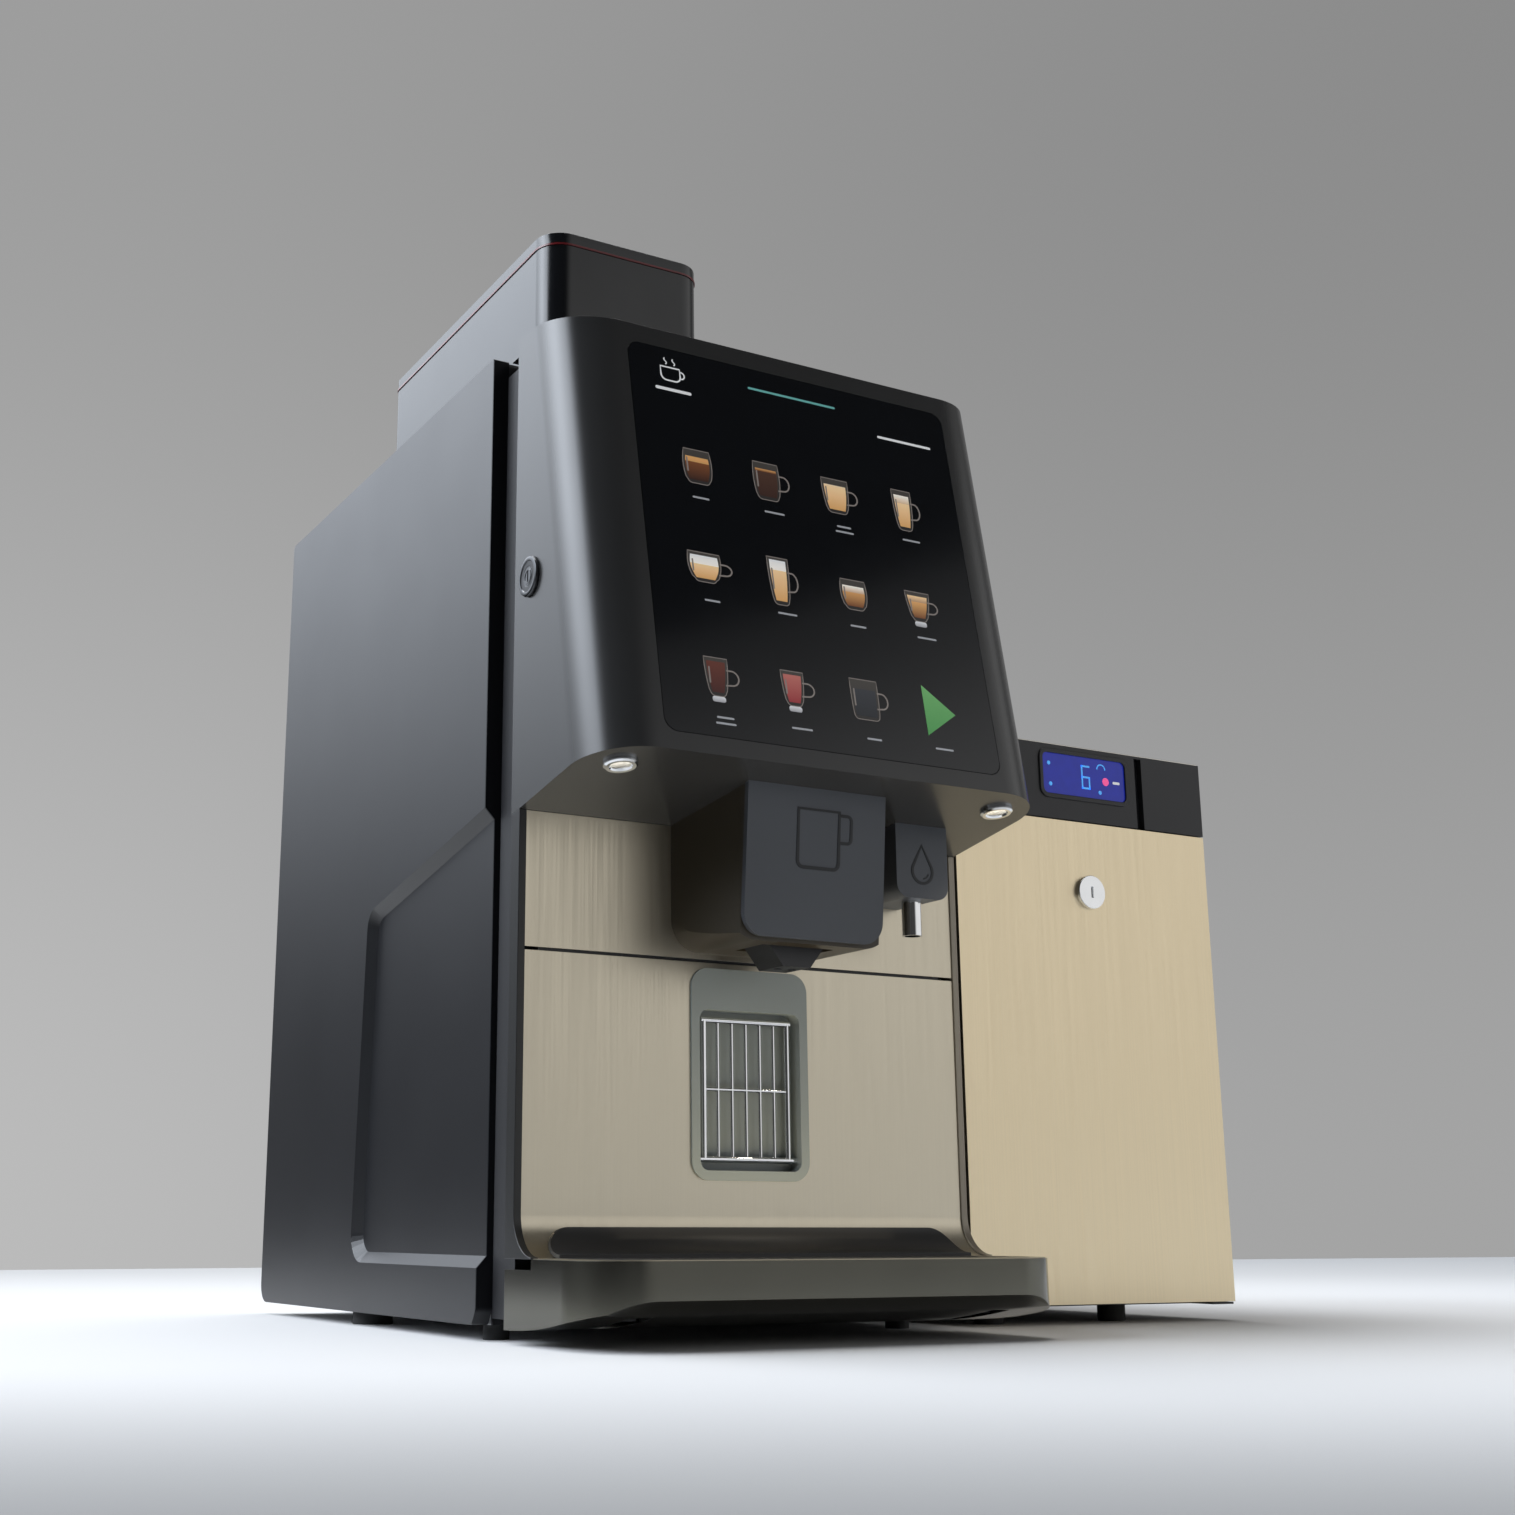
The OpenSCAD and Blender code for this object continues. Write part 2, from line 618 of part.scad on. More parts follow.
// Water valve whose threaded stub takes the supply hose; a collar holds it to the rear panel
module water_inlet() color("#c2a45a") placed() {
    rod_y(neck_r, rear_y - 8, rear_y, valve_x, valve_z);
    rod_y(valve_r + 3, rear_y, rear_y + collar_t, valve_x, valve_z);
    rod_y(valve_r, rear_y + collar_t, rear_y + collar_t + valve_len, valve_x, valve_z);
    block([valve_x - 18, rear_y - 44, valve_z - 18], [valve_x + 18, rear_y - 8, valve_z + 18]);
    block([valve_x - 12, rear_y - 40, foot_h + sheet], [valve_x + 12, rear_y - 12, valve_z - 18]);
}

// ---- Milk cooler --------------------------------------------------------------------

duct_y = [120, 180];
duct_z = [200, 260];

module duct_hole(x0, x1) block([x0, duct_y[0] + 5, duct_z[0] + 5], [x1, duct_y[1] - 5, duct_z[1] - 5]);

// Joins the cooler to the cabinet and leads the milk pipe across
module docking_duct() color(black) placed() difference() {
    block([half_w - emboss, duct_y[0], duct_z[0]], [cooler_x0, duct_y[1], duct_z[1]]);
    duct_hole(half_w - emboss - 1, cooler_x0 + 1);
}

cooler_hinge_x = cooler_x1 - 8;
cooler_hinge_y = 5;
cooler_pin = 3;
cooler_mid = (cooler_x0 + cooler_x1) / 2;
cooler_lock_x = cooler_mid + 2;
cooler_lock_z = cooler_top - 111;
cooler_lock_r = 12.5;
cooler_plug_r = 9;

door_back = 17;
case_y = 20;
cavity_lo = [cooler_x0 + cooler_wall, case_y, cooler_foot + 40];
cavity_hi = [cooler_x1 - cooler_wall, 300, cooler_top - band_h - 18];
door_top = cooler_top - band_h - 1;

module cooler_case() color(black) placed() difference() {
    union() {
        block([cooler_x0, case_y, cooler_foot], [cooler_x1, cooler_d, cooler_top]);
        // Lower hinge plate and pin
        block([cooler_hinge_x - 12, cooler_hinge_y - 8, cooler_foot], [cooler_x1, case_y, cooler_foot + 1.5]);
        rod_z(cooler_pin, cooler_foot + 1.5, cooler_foot + 12, cooler_hinge_x, cooler_hinge_y);
    }
    block(cavity_lo - [0, 1, 0], cavity_hi);
    block([cooler_x0 + 20, 320, cooler_foot + 20], [cooler_x1 - 20, cooler_d - 2, cooler_top - 20]);
    for (i = [0:11])
        block([cooler_x0 + 45, cooler_d - 3, cooler_foot + 40 + i * 10],
              [cooler_x1 - 45, cooler_d + 1, cooler_foot + 44 + i * 10]);
    block([cooler_x0 + 4, case_y - 1, door_top + 4], [cooler_x1 - 4, 300, cooler_top - 4]);
    duct_hole(cooler_x0 - 1, cavity_lo[0] + 1);
}

liner_t = 2;

// The inner lining, with the strike that the cooler's lock catches
module cooler_liner() color("#e9eaea") placed() {
    difference() {
        block(cavity_lo, cavity_hi);
        block(cavity_lo + [liner_t, -1, liner_t], cavity_hi - [liner_t, liner_t, liner_t]);
        duct_hole(cavity_lo[0] - 1, cavity_lo[0] + 4);
    }
    block([cooler_lock_x - 10, case_y + 1, cooler_lock_z + 15],
          [cooler_lock_x + 10, case_y + 3.5, cavity_hi[2] - 1]);
}

screen_x = [cooler_x1 - 159, cooler_x1 - 77];
screen_z = [cooler_top - 39, cooler_top - 6];
groove_x = [cooler_x1 - 67, cooler_x1 - 60];

module cooler_band() color(black) placed() {
    difference() {
        block([cooler_x0, -cooler_y, cooler_top - band_h], [cooler_x1, case_y, cooler_top]);
        block([groove_x[0], -cooler_y - 1, cooler_top - band_h - 1],
              [groove_x[1], -cooler_y + 5, cooler_top - 2]);
        block([screen_x[0], -cooler_y - 1, screen_z[0]], [screen_x[1], -cooler_y + 3, screen_z[1]]);
        block([cooler_x0 + 4, -cooler_y + 8, cooler_top - band_h + 4],
              [cooler_x1 - 4, case_y + 1, cooler_top - 4]);
    }
    // Upper hinge pin of the cooler's door
    rod_z(cooler_pin, door_top - 10, cooler_top - band_h, cooler_hinge_x, cooler_hinge_y);
}

module cooler_display() color("#1b3fd0") placed()
    block([screen_x[0] + 0.2, -cooler_y, screen_z[0] + 0.2],
          [screen_x[1] - 0.2, -cooler_y + 3, screen_z[1] - 0.2]);

// Door slab with the bores for its hinge pins and its lock
module cooler_door() color(champagne) placed() difference() {
    block([cooler_x0, -cooler_y, cooler_foot + 2], [cooler_x1, door_back, door_top]);
    block([cooler_x0 + 6, door_back - 6, cooler_foot + 45],
          [cooler_x1 - 30, door_back + 1, cooler_lock_z - 40]);
    rod_z(cooler_pin + run_fit, door_top - 11, door_top + 1, cooler_hinge_x, cooler_hinge_y);
    rod_z(cooler_pin + run_fit, cooler_foot + 1, cooler_foot + 13, cooler_hinge_x, cooler_hinge_y);
    rod_y(cooler_plug_r + run_fit, -cooler_y - 1, door_back + 1, cooler_lock_x, cooler_lock_z);
}

// Key plug and cam; the cam points sideways when unlocked
module cooler_lock() color(chrome) placed() {
    difference() {
        rod_y(cooler_lock_r, -cooler_y - 3.5, -cooler_y - 0.1, cooler_lock_x, cooler_lock_z);
        block([cooler_lock_x - 1, -cooler_y - 4, cooler_lock_z - 4],
              [cooler_lock_x + 1, -cooler_y - 2, cooler_lock_z + 4]);
    }
    rod_y(cooler_plug_r, -cooler_y - 0.1, door_back + 8, cooler_lock_x, cooler_lock_z);
    block([cooler_lock_x - 6, door_back + 8, cooler_lock_z - 6],
          [cooler_lock_x + 30, door_back + 11, cooler_lock_z + 6]);
}

module milk_container() color("#f2f1ea") placed() {
    x = cooler_mid;
    block([x - 60, 60, cavity_lo[2] + liner_t], [x + 60, 270, cavity_lo[2] + 180]);
    rod_z(28, cavity_lo[2] + 180, cavity_lo[2] + 205, x, 120);
    rod_z(4, cavity_lo[2] + 205, cavity_lo[2] + 235, x, 120);
}

module cooling_unit() color("#6b7076") placed() {
    block([cooler_x0 + 30, 320, cooler_foot + 20], [cooler_x1 - 30, 360, cooler_foot + 150]);
    for (i = [0:13])
        block([cooler_x0 + 36 + i * 12, 360, cooler_foot + 30],
              [cooler_x0 + 40 + i * 12, 392, cooler_foot + 140]);
    rod_y(45, 320, 372, cooler_mid, cooler_foot + 240);
}

// ---- Door ---------------------------------------------------------------------------

shell_w = half_w - door_inset;
frame_w = inner_w + 2;
shell_y = door_gap + frame_d;
face_rise = cabinet_top - 7 - brow_z;
face_len = face_rise / cos(face_tilt);

// Y and Z of a point that lies v behind the face and u up along it
function face_pt(v, u) = [-brow_y + v * cos(face_tilt) + u * sin(face_tilt),
                          brow_z - v * sin(face_tilt) + u * cos(face_tilt)];

// Moves a drawing made with X along the door, Y into it and Z up its face onto the face
module on_face() translate([0, -brow_y, brow_z]) rotate([-face_tilt, 0, 0]) children();

// All that lies below the plane of the door's underside
module below_brow() on_face() translate([-300, -200, -600]) cube([600, 600, 600]);

module shell_form(wall) {
    back = shell_y - (wall > 0 ? 8 : 0);
    low = face_pt((brow_y - back - wall * sin(face_tilt)) / cos(face_tilt), wall);
    intersection() {
        from_side(-shell_w + wall, shell_w - wall)
            polygon([[-back, low[1]], face_pt(wall, wall), face_pt(wall, face_len - wall),
                     [-back, cabinet_top - 1 - wall]]);
        on_face() translate([0, 0, -60]) linear_extrude(face_len + 140)
            rounded_low([-shell_w + wall, wall], [shell_w - wall, brow_y + 60], door_corner - wall);
    }
}

spot_x = shell_w - 27;
spot_v = 27;
spot_r = 8.5;
spot_bore_r = 6.5;

glass_x = 1;

module glass_outline(grow) rounded([glass_x - glass_w / 2 - grow, glass_low - grow],
                                   [glass_x + glass_w / 2 + grow, glass_low + glass_h + grow], 9);

module door_shell() color(door_grey) placed() difference() {
    union() {
        difference() {
            shell_form(0);
            shell_form(shell_t);
        }
        // Roof over the gap in front of the cabinet
        block([-frame_w + 2, -shell_y - 1, cabinet_top - 3.5],
              [hinge_x + 2, -door_gap - 1, cabinet_top - 1.5]);
    }
    on_face() from_front(-1, shell_t + 1) glass_outline(0.4);
    on_face() mirrored() rod_z(spot_r, -1, shell_t + 1, spot_x, spot_v);
    rod_x(lock_body_r, -shell_w - 1, -shell_w + shell_t + 1, -lock_y, lock_z);
    // Opening in the underside for the outlet pipes
    block([-32, -splash_y - 60, 290], [34, -splash_y - 8, brow_z + 3]);
}

module display_glass() color("#07080a") placed() on_face() from_front(0, glass_t) glass_outline(0);

module_d = 16;
board_d = 10;
module_fit = 0.3;

// The screen behind the glass: a pad under the glass, a flange behind the door shell that
// stays inside the shell's rounded corners, and the control board
module display_module() color("#1d1f22") placed() on_face() {
    back = max(glass_t, shell_t) + module_d;
    from_front(glass_t, back) glass_outline(0);
    difference() {
        from_above(glass_low - 3, glass_low + glass_h + 3) intersection() {
            rounded_low([-shell_w + shell_t + module_fit, shell_t],
                        [shell_w - shell_t - module_fit, back + 60], door_corner - shell_t);
            translate([glass_x - glass_w / 2 - 2, shell_t]) square([glass_w + 3, back - shell_t]);
        }
        from_front(-1, glass_t) glass_outline(0.4);
    }
    block([-80, back, 70], [80, back + board_d, 240]);
}

frame_bar = 8;
frame_low = hinge_low + bracket_t + 1;
frame_top = hinge_high - 1;
rail_x = 124;
rail_z = frame_low + 2;

// Ring behind the shell and the splash panels, with the tray's two rails
module door_frame() color(black) placed() {
    difference() {
        union() {
            difference() {
                block([-frame_w, -shell_y, frame_low], [frame_w, -door_gap, frame_top]);
                block([-frame_w + frame_bar, -shell_y - 1, frame_low + 20],
                      [frame_w - frame_bar, -door_gap + 1, frame_top - 14]);
            }
            // Corner blocks that carry the hinge bores
            for (z = [frame_low, frame_top - 26])
                block([hinge_x - 12, -shell_y, z],
                      [frame_w, -door_gap, z + 26]);
        }
        rod_z(hinge_pin / 2 + run_fit, frame_low - 1, frame_low + 14, hinge_x, hinge_y);
        rod_z(hinge_pin / 2 + run_fit, frame_top - 14, frame_top + 1, hinge_x, hinge_y);
    }
    // Cross bars behind the seam and the top of the upper splash panel
    block([-frame_w + frame_bar, -splash_y + splash_t, seam_z - 6],
          [frame_w - frame_bar, -shell_y, seam_z + 6]);
    block([-frame_w + frame_bar, -shell_y, seam_z - 10], [frame_w - frame_bar, -shell_y + 4, seam_z + 10]);
    for (x = [-rail_x, rail_x]) block([x - 6, -shell_y - tray_travel, rail_z], [x + 6, -shell_y, rail_z + 4]);
}

splash_w = shell_w - 5;

module upper_splash() color(champagne) placed() difference() {
    intersection() {
        block([-splash_w, -splash_y, seam_z + 1], [splash_w, -shell_y, brow_z]);
        below_brow();
    }
    block([-splash_w + splash_t, -splash_y + splash_t, seam_z], [splash_w - splash_t, -shell_y + 1, brow_z]);
    block([-30, -splash_y - 1, 262], [32, -splash_y + splash_t + 1, 300]);
    block([water_x - 8, -splash_y - 1, 288], [water_x + 8, -splash_y + splash_t + 1, 304]);
}

shelf_x = -2;
shelf_z = seam_z - 4.5 - shelf_h;

module lower_splash() color(champagne) placed() {
    difference() {
        block([-splash_w, -splash_y, deck_z + cove_r], [splash_w, -shell_y, seam_z - 1]);
        block([-splash_w + splash_t, -splash_y + splash_t, deck_z + cove_r - 1],
              [splash_w - splash_t, -shell_y + 1, seam_z]);
        block([shelf_x - shelf_w / 2 + 4, -splash_y - 1, shelf_z + 4],
              [shelf_x + shelf_w / 2 - 4, -shell_y, shelf_z + shelf_h - 24]);
    }
    intersection() {
        difference() {
            rod_x(cove_r + splash_t, -splash_w, splash_w, -splash_y - cove_r, deck_z + cove_r);
            rod_x(cove_r, -splash_w - 1, splash_w + 1, -splash_y - cove_r, deck_z + cove_r);
        }
        block([-splash_w, -splash_y - cove_r, 0], [splash_w, 0, deck_z + cove_r]);
    }
}

// Cheeks at both ends of the splash panels, flaring forwards with the cove
module side_trims() color("#6d6659") placed() mirrored() intersection() {
    from_side(splash_w, shell_w) difference() {
        translate([-splash_y - cove_r, deck_z]) square([splash_y + cove_r - shell_y, brow_z - deck_z]);
        translate([-splash_y - cove_r - 1, deck_z + cove_r + 1]) square([cove_r, brow_z]);
        translate([-splash_y - cove_r - 1, deck_z + cove_r + 1]) circle(cove_r);
    }
    below_brow();
}

module spot_bezels() color(chrome) placed() on_face() mirrored() difference() {
    union() {
        rod_z(spot_r + 2, -1.5, 0, spot_x, spot_v);
        rod_z(spot_r, 0, 12, spot_x, spot_v);
    }
    rod_z(spot_bore_r, -2, 9, spot_x, spot_v);
}

outlet_x = 1;
cover_t = 4;
cover_lean = 5;
cover_y = 118;

// Puts a drawing on the leaning plane of the coffee outlet's cover
module on_cover() translate([outlet_x, -cover_y, outlet_z]) rotate([cover_lean, 0, 0]) children();

module outlet_cover() color("#4a505c") placed() intersection() {
    on_cover() from_front(0, cover_t) rounded_low([-cover_w / 2, 0], [cover_w / 2, 130], 14);
    below_brow();
}

// Plan of the outlet housing, wider at the splash panel
module housing_plan(wall) {
    front = cover_w / 2 - wall;
    rear = front + outlet_flare / 2;
    polygon([[-front, -cover_y - 30], [front, -cover_y - 30], [front, -cover_y + cover_t],
             [rear, -splash_y], [rear, -splash_y + wall], [-rear, -splash_y + wall],
             [-rear, -splash_y], [-front, -cover_y + cover_t]]);
}

module housing_form(wall) {
    rear = cover_w / 2 + outlet_flare / 2 - wall;
    intersection() {
        translate([outlet_x, 0, 0]) from_above(200, 400) housing_plan(wall);
        translate([outlet_x, 0, 0]) from_front(-200, 0)
            rounded_low([-rear, outlet_z - 2 + wall], [rear, 400], 20);
        on_cover() translate([-200, cover_t + wall, -100]) cube([400, 200, 400]);
    }
}

module outlet_housing() color("#2c2622") placed() difference() {
    intersection() {
        housing_form(0);
        below_brow();
    }
    housing_form(3);
    block([outlet_x - 26, -100, 200], [outlet_x + 26, -68, 260]);
}

nozzle_y = -84;

// Two nozzles side by side in one tapered block, fed from behind the splash panel
module coffee_outlets() color(black) placed() difference() {
    union() {
        intersection() {
            block([outlet_x - 24, nozzle_y - 14, 222], [outlet_x + 24, nozzle_y + 14, 270]);
            translate([outlet_x, 0, 0]) from_front(-200, 0)
                polygon([[-10, 222], [10, 222], [24, 240], [24, 270], [-24, 270], [-24, 240]]);
        }
        for (x = [-12, 12]) rod_y(5, nozzle_y + 10, -shell_y - 0.5, outlet_x + x, 280);
        block([outlet_x - 20, nozzle_y - 8, 268], [outlet_x + 20, nozzle_y + 14, 286]);
    }
    for (x = [-5, 5]) rod_z(3, 221, 280, outlet_x + x, nozzle_y);
}

water_x = shell_w - 60.5;
water_y = 91;
water_z = 274;

module water_cover() color("#454b56") placed() difference() {
    intersection() {
        from_front(-water_y, -splash_y)
            rounded_low([water_x - water_w / 2, water_z], [water_x + water_w / 2, 400], 9);
        below_brow();
    }
    from_front(-water_y + 3, -splash_y + 1)
        rounded_low([water_x - water_w / 2 + 3, water_z + 3], [water_x + water_w / 2 - 3, 400], 6);
    rod_z(water_dia / 2, water_z - 1, water_z + 4, water_x, -water_y + 13);
}

module water_tube() color(chrome) placed() difference() {
    union() {
        rod_z(water_dia / 2, water_z - 23, water_z + 22, water_x, -water_y + 13);
        rod_y(5, -water_y + 13, -shell_y - 0.5, water_x, water_z + 22);
    }
    rod_z(water_dia / 2 - 1.5, water_z - 24, water_z + 20, water_x, -water_y + 13);
}

shelf_pivot_y = -41;
shelf_pivot_z = shelf_z + 13;
shelf_in = 6;

module shelf_frame() color("#5c636b") placed() difference() {
    union() {
        from_front(-splash_y - 1.5, -splash_y)
            rounded([shelf_x - shelf_w / 2, shelf_z], [shelf_x + shelf_w / 2, shelf_z + shelf_h], 12);
        block([shelf_x - shelf_w / 2 + 4, -splash_y, shelf_z + 4],
              [shelf_x + shelf_w / 2 - 4, -shell_y + 1, shelf_z + shelf_h - 24]);
    }
    from_front(-splash_y - 3, -shell_y - 1)
        rounded([shelf_x - shelf_w / 2 + shelf_in, shelf_z + shelf_in],
                [shelf_x + shelf_w / 2 - shelf_in, shelf_z + shelf_h - 26], 6);
    rod_x(shelf_wire / 2 + run_fit, shelf_x - shelf_w / 2, shelf_x + shelf_w / 2,
          shelf_pivot_y, shelf_pivot_z);
}

// Wire shelf that folds up into its frame
module cup_shelf() color(chrome) placed() {
    r = shelf_wire / 2;
    x = shelf_w / 2 - shelf_in - 4 - r;
    top = shelf_z + shelf_h - 30 - r;
    rod_x(r, shelf_x - shelf_w / 2 + 4.5, shelf_x + shelf_w / 2 - 4.5, shelf_pivot_y, shelf_pivot_z);
    for (i = [-3:3])
        rod_z(abs(i) == 3 ? r : r * 0.6, shelf_pivot_z, top, shelf_x + i * x / 3, shelf_pivot_y);
    rod_x(r, shelf_x - x - r, shelf_x + x + r, shelf_pivot_y, top);
    rod_x(r * 0.6, shelf_x - x, shelf_x + x, shelf_pivot_y, (top + shelf_pivot_z) / 2);
}

lock_reach = 21;

// Lock body in the door's left side, with a bore for the key plug
module lock_housing() color(black) placed() difference() {
    union() {
        rod_x(lock_ring_r, -half_w, -shell_w, -lock_y, lock_z);
        rod_x(lock_body_r, -shell_w, -shell_w + lock_reach - 1, -lock_y, lock_z);
    }
    rod_x(lock_plug_r + run_fit, -half_w - 1, -shell_w + lock_reach, -lock_y, lock_z);
}

// Key plug and cam; the cam points back when unlocked and up, behind the strike, when locked
module lock_cylinder() color(chrome) placed() {
    difference() {
        rod_x(lock_plug_r, -half_w, -shell_w + lock_reach, -lock_y, lock_z);
        block([-half_w - 1, -lock_y - 0.8, lock_z - 3.5], [-half_w + 2, -lock_y + 0.8, lock_z + 3.5]);
    }
    block([-shell_w + lock_reach, -lock_y - 7, lock_z - 6],
          [-shell_w + lock_reach + 2.5, -lock_y + 38, lock_z + 6]);
}

// ---- Drip tray ----------------------------------------------------------------------

well_x = 147;
well_y = [-tray_y + 15, -splash_y - cove_r];
tray_corner = 40;

function belly(y) = foot_h - 1 + 12 * pow((y + shell_y) / (tray_y - 10 - shell_y), 2);

module drip_tray() color("#3b3a35") placed() difference() {
    intersection() {
        from_side(-shell_w, shell_w) polygon(concat(
            [for (i = [0:8]) let (y = -shell_y - 1 - i * (tray_y - 11 - shell_y) / 8) [y, belly(y)]],
            [[-tray_y, lip_z], [-tray_y, deck_z], [-splash_y - cove_r - 0.5, deck_z],
             [-splash_y - cove_r - 0.5, deck_z - 6], [-shell_y - 1, deck_z - 6]]));
        from_above(0, deck_z) rounded_low([-shell_w, -tray_y], [shell_w, 0], tray_corner);
    }
    // Seat of the grille and the well under it
    from_above(deck_z - 4, deck_z + 1) rounded_low([-well_x - 0.5, well_y[0] - 0.5], [well_x + 0.5, 0], 10);
    block([-well_x + 6, well_y[0] + 6, 25], [well_x - 6, well_y[1] - 2, deck_z + 1]);
    for (x = [-rail_x, rail_x]) block([x - 7, -tray_y + 22, 0], [x + 7, 0, rail_z + 5]);
}

grille_rise = 18;
grille_pitch = 11;

// Slotted insert whose rear edge follows the cove
module drip_grille() color("#2b2c2e") placed() difference() {
    union() {
        from_above(deck_z - 3.8, deck_z + 0.6) rounded_low([-well_x, well_y[0]], [well_x, well_y[1] - 1], 10);
        intersection() {
            difference() {
                block([-well_x, well_y[1] - 1, deck_z], [well_x, -splash_y - 2, deck_z + grille_rise]);
                rod_x(cove_r - 2.6, -well_x - 1, well_x + 1, -splash_y - cove_r, deck_z + cove_r);
                block([-well_x - 1, well_y[1] - 9, deck_z + 2.6], [well_x + 1, well_y[1], deck_z + cove_r]);
            }
            rod_x(cove_r - 0.4, -well_x, well_x, -splash_y - cove_r, deck_z + cove_r);
            from_front(well_y[1] - 1, -splash_y - 2) rounded([-well_x, deck_z - grille_rise],
                [well_x, deck_z + grille_rise], grille_rise - 1);
        }
    }
    slots = floor((well_x - 12) / grille_pitch);
    for (i = [-slots:slots]) block([i * grille_pitch - 3, well_y[0] + 10, deck_z - 5],
                                   [i * grille_pitch + 3, well_y[1] - 8, deck_z + 2]);
}

side_panel_left();
side_panel_right();
base_pan();
feet();
front_frame();
door_seal();
rear_panel();
top_panel();
bulkhead();
hinge_brackets();
bean_hopper();
grinder_housing();
brewer_frame();
grounds_bin();
canisters();
mixing_bowls();
product_hoses();
boiler();
pump();
fan_frame();
mains_inlet();
water_inlet();
docking_duct();
cooler_case();
cooler_liner();
cooler_band();
cooler_display();
milk_container();
cooling_unit();
door_shell();
door_frame();
display_glass();
display_module();
upper_splash();
lower_splash();
side_trims();
spot_bezels();
outlet_housing();
outlet_cover();
coffee_outlets();
water_cover();
water_tube();
shelf_frame();
lock_housing();
lock_cylinder();
cup_shelf();
drip_tray();
drip_grille();
hopper_lid();
hopper_gate();
grinder_burr();
brewer_piston();
auger_left();
auger_right();
whipper_left();
whipper_right();
fan_rotor();
power_switch();
cooler_door();
cooler_lock();
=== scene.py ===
"""A hot coffee vending machine with a milk cooler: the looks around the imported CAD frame."""
import json
import math

import bmesh
import bpy
from mathutils import Matrix, Vector

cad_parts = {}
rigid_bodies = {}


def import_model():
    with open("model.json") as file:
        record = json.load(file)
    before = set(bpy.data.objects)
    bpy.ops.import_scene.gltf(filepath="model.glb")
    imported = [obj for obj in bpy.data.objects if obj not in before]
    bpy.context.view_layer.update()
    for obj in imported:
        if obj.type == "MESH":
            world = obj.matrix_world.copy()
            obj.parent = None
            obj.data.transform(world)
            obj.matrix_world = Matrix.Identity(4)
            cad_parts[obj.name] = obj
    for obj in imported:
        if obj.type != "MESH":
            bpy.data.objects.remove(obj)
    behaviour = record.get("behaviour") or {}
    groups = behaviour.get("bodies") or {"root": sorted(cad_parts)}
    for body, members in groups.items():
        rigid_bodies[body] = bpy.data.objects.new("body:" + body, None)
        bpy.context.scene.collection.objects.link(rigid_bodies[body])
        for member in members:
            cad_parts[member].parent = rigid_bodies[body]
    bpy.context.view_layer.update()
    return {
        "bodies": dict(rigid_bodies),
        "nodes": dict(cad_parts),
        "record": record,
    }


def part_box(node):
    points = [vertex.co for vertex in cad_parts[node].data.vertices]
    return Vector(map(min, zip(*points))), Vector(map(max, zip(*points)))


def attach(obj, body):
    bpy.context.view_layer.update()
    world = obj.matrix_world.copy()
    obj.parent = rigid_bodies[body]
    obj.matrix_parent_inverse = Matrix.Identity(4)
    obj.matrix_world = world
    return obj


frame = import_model()
NODES = frame["nodes"]
MM = 0.001

# The CAD's working frame: X 0 on the cabinet's centre line, Y 0 on the side panels' front edge
LEFT_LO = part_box("side_panel_left")[0]
RIGHT_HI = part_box("side_panel_right")[1]
ORIGIN = Vector(((LEFT_LO.x + RIGHT_HI.x) / 2, LEFT_LO.y, 0))


def at(x, y, z):
    """Millimetres in the CAD's working frame to metres in the row frame."""
    return ORIGIN + Vector((x, y, z)) * MM


def local_box(node):
    """A CAD node's corners in millimetres in the working frame."""
    lo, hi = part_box(node)
    return (lo - ORIGIN) / MM, (hi - ORIGIN) / MM


# ---- Materials ----------------------------------------------------------------------

def new_material(name):
    """A material with its Principled shader and node tree."""
    mat = bpy.data.materials.new(name)
    mat.use_nodes = True
    tree = mat.node_tree
    return mat, tree, tree.nodes["Principled BSDF"]


def noise(tree, scale, stretch=(1, 1, 1), detail=3.0):
    """A noise texture over the row frame, in metres, stretched along any axis."""
    coord = tree.nodes.new("ShaderNodeTexCoord")
    mapping = tree.nodes.new("ShaderNodeMapping")
    mapping.inputs["Scale"].default_value = stretch
    tex = tree.nodes.new("ShaderNodeTexNoise")
    tex.inputs["Scale"].default_value = scale
    tex.inputs["Detail"].default_value = detail
    tree.links.new(coord.outputs["Object"], mapping.inputs["Vector"])
    tree.links.new(mapping.outputs["Vector"], tex.inputs["Vector"])
    return tex.outputs["Fac"]


def ranged(tree, value, low, high, start=0.3, end=0.7):
    """Maps a 0..1 value onto low..high."""
    node = tree.nodes.new("ShaderNodeMapRange")
    node.inputs["From Min"].default_value = start
    node.inputs["From Max"].default_value = end
    node.inputs["To Min"].default_value = low
    node.inputs["To Max"].default_value = high
    tree.links.new(value, node.inputs["Value"])
    return node.outputs["Result"]


def tinted(tree, value, dark, light, start=0.3, end=0.7):
    """A colour between dark and light by a 0..1 value."""
    ramp = tree.nodes.new("ShaderNodeValToRGB")
    ramp.color_ramp.elements[0].position = start
    ramp.color_ramp.elements[1].position = end
    ramp.color_ramp.elements[0].color = (*dark, 1)
    ramp.color_ramp.elements[1].color = (*light, 1)
    tree.links.new(value, ramp.inputs["Fac"])
    return ramp.outputs["Color"]


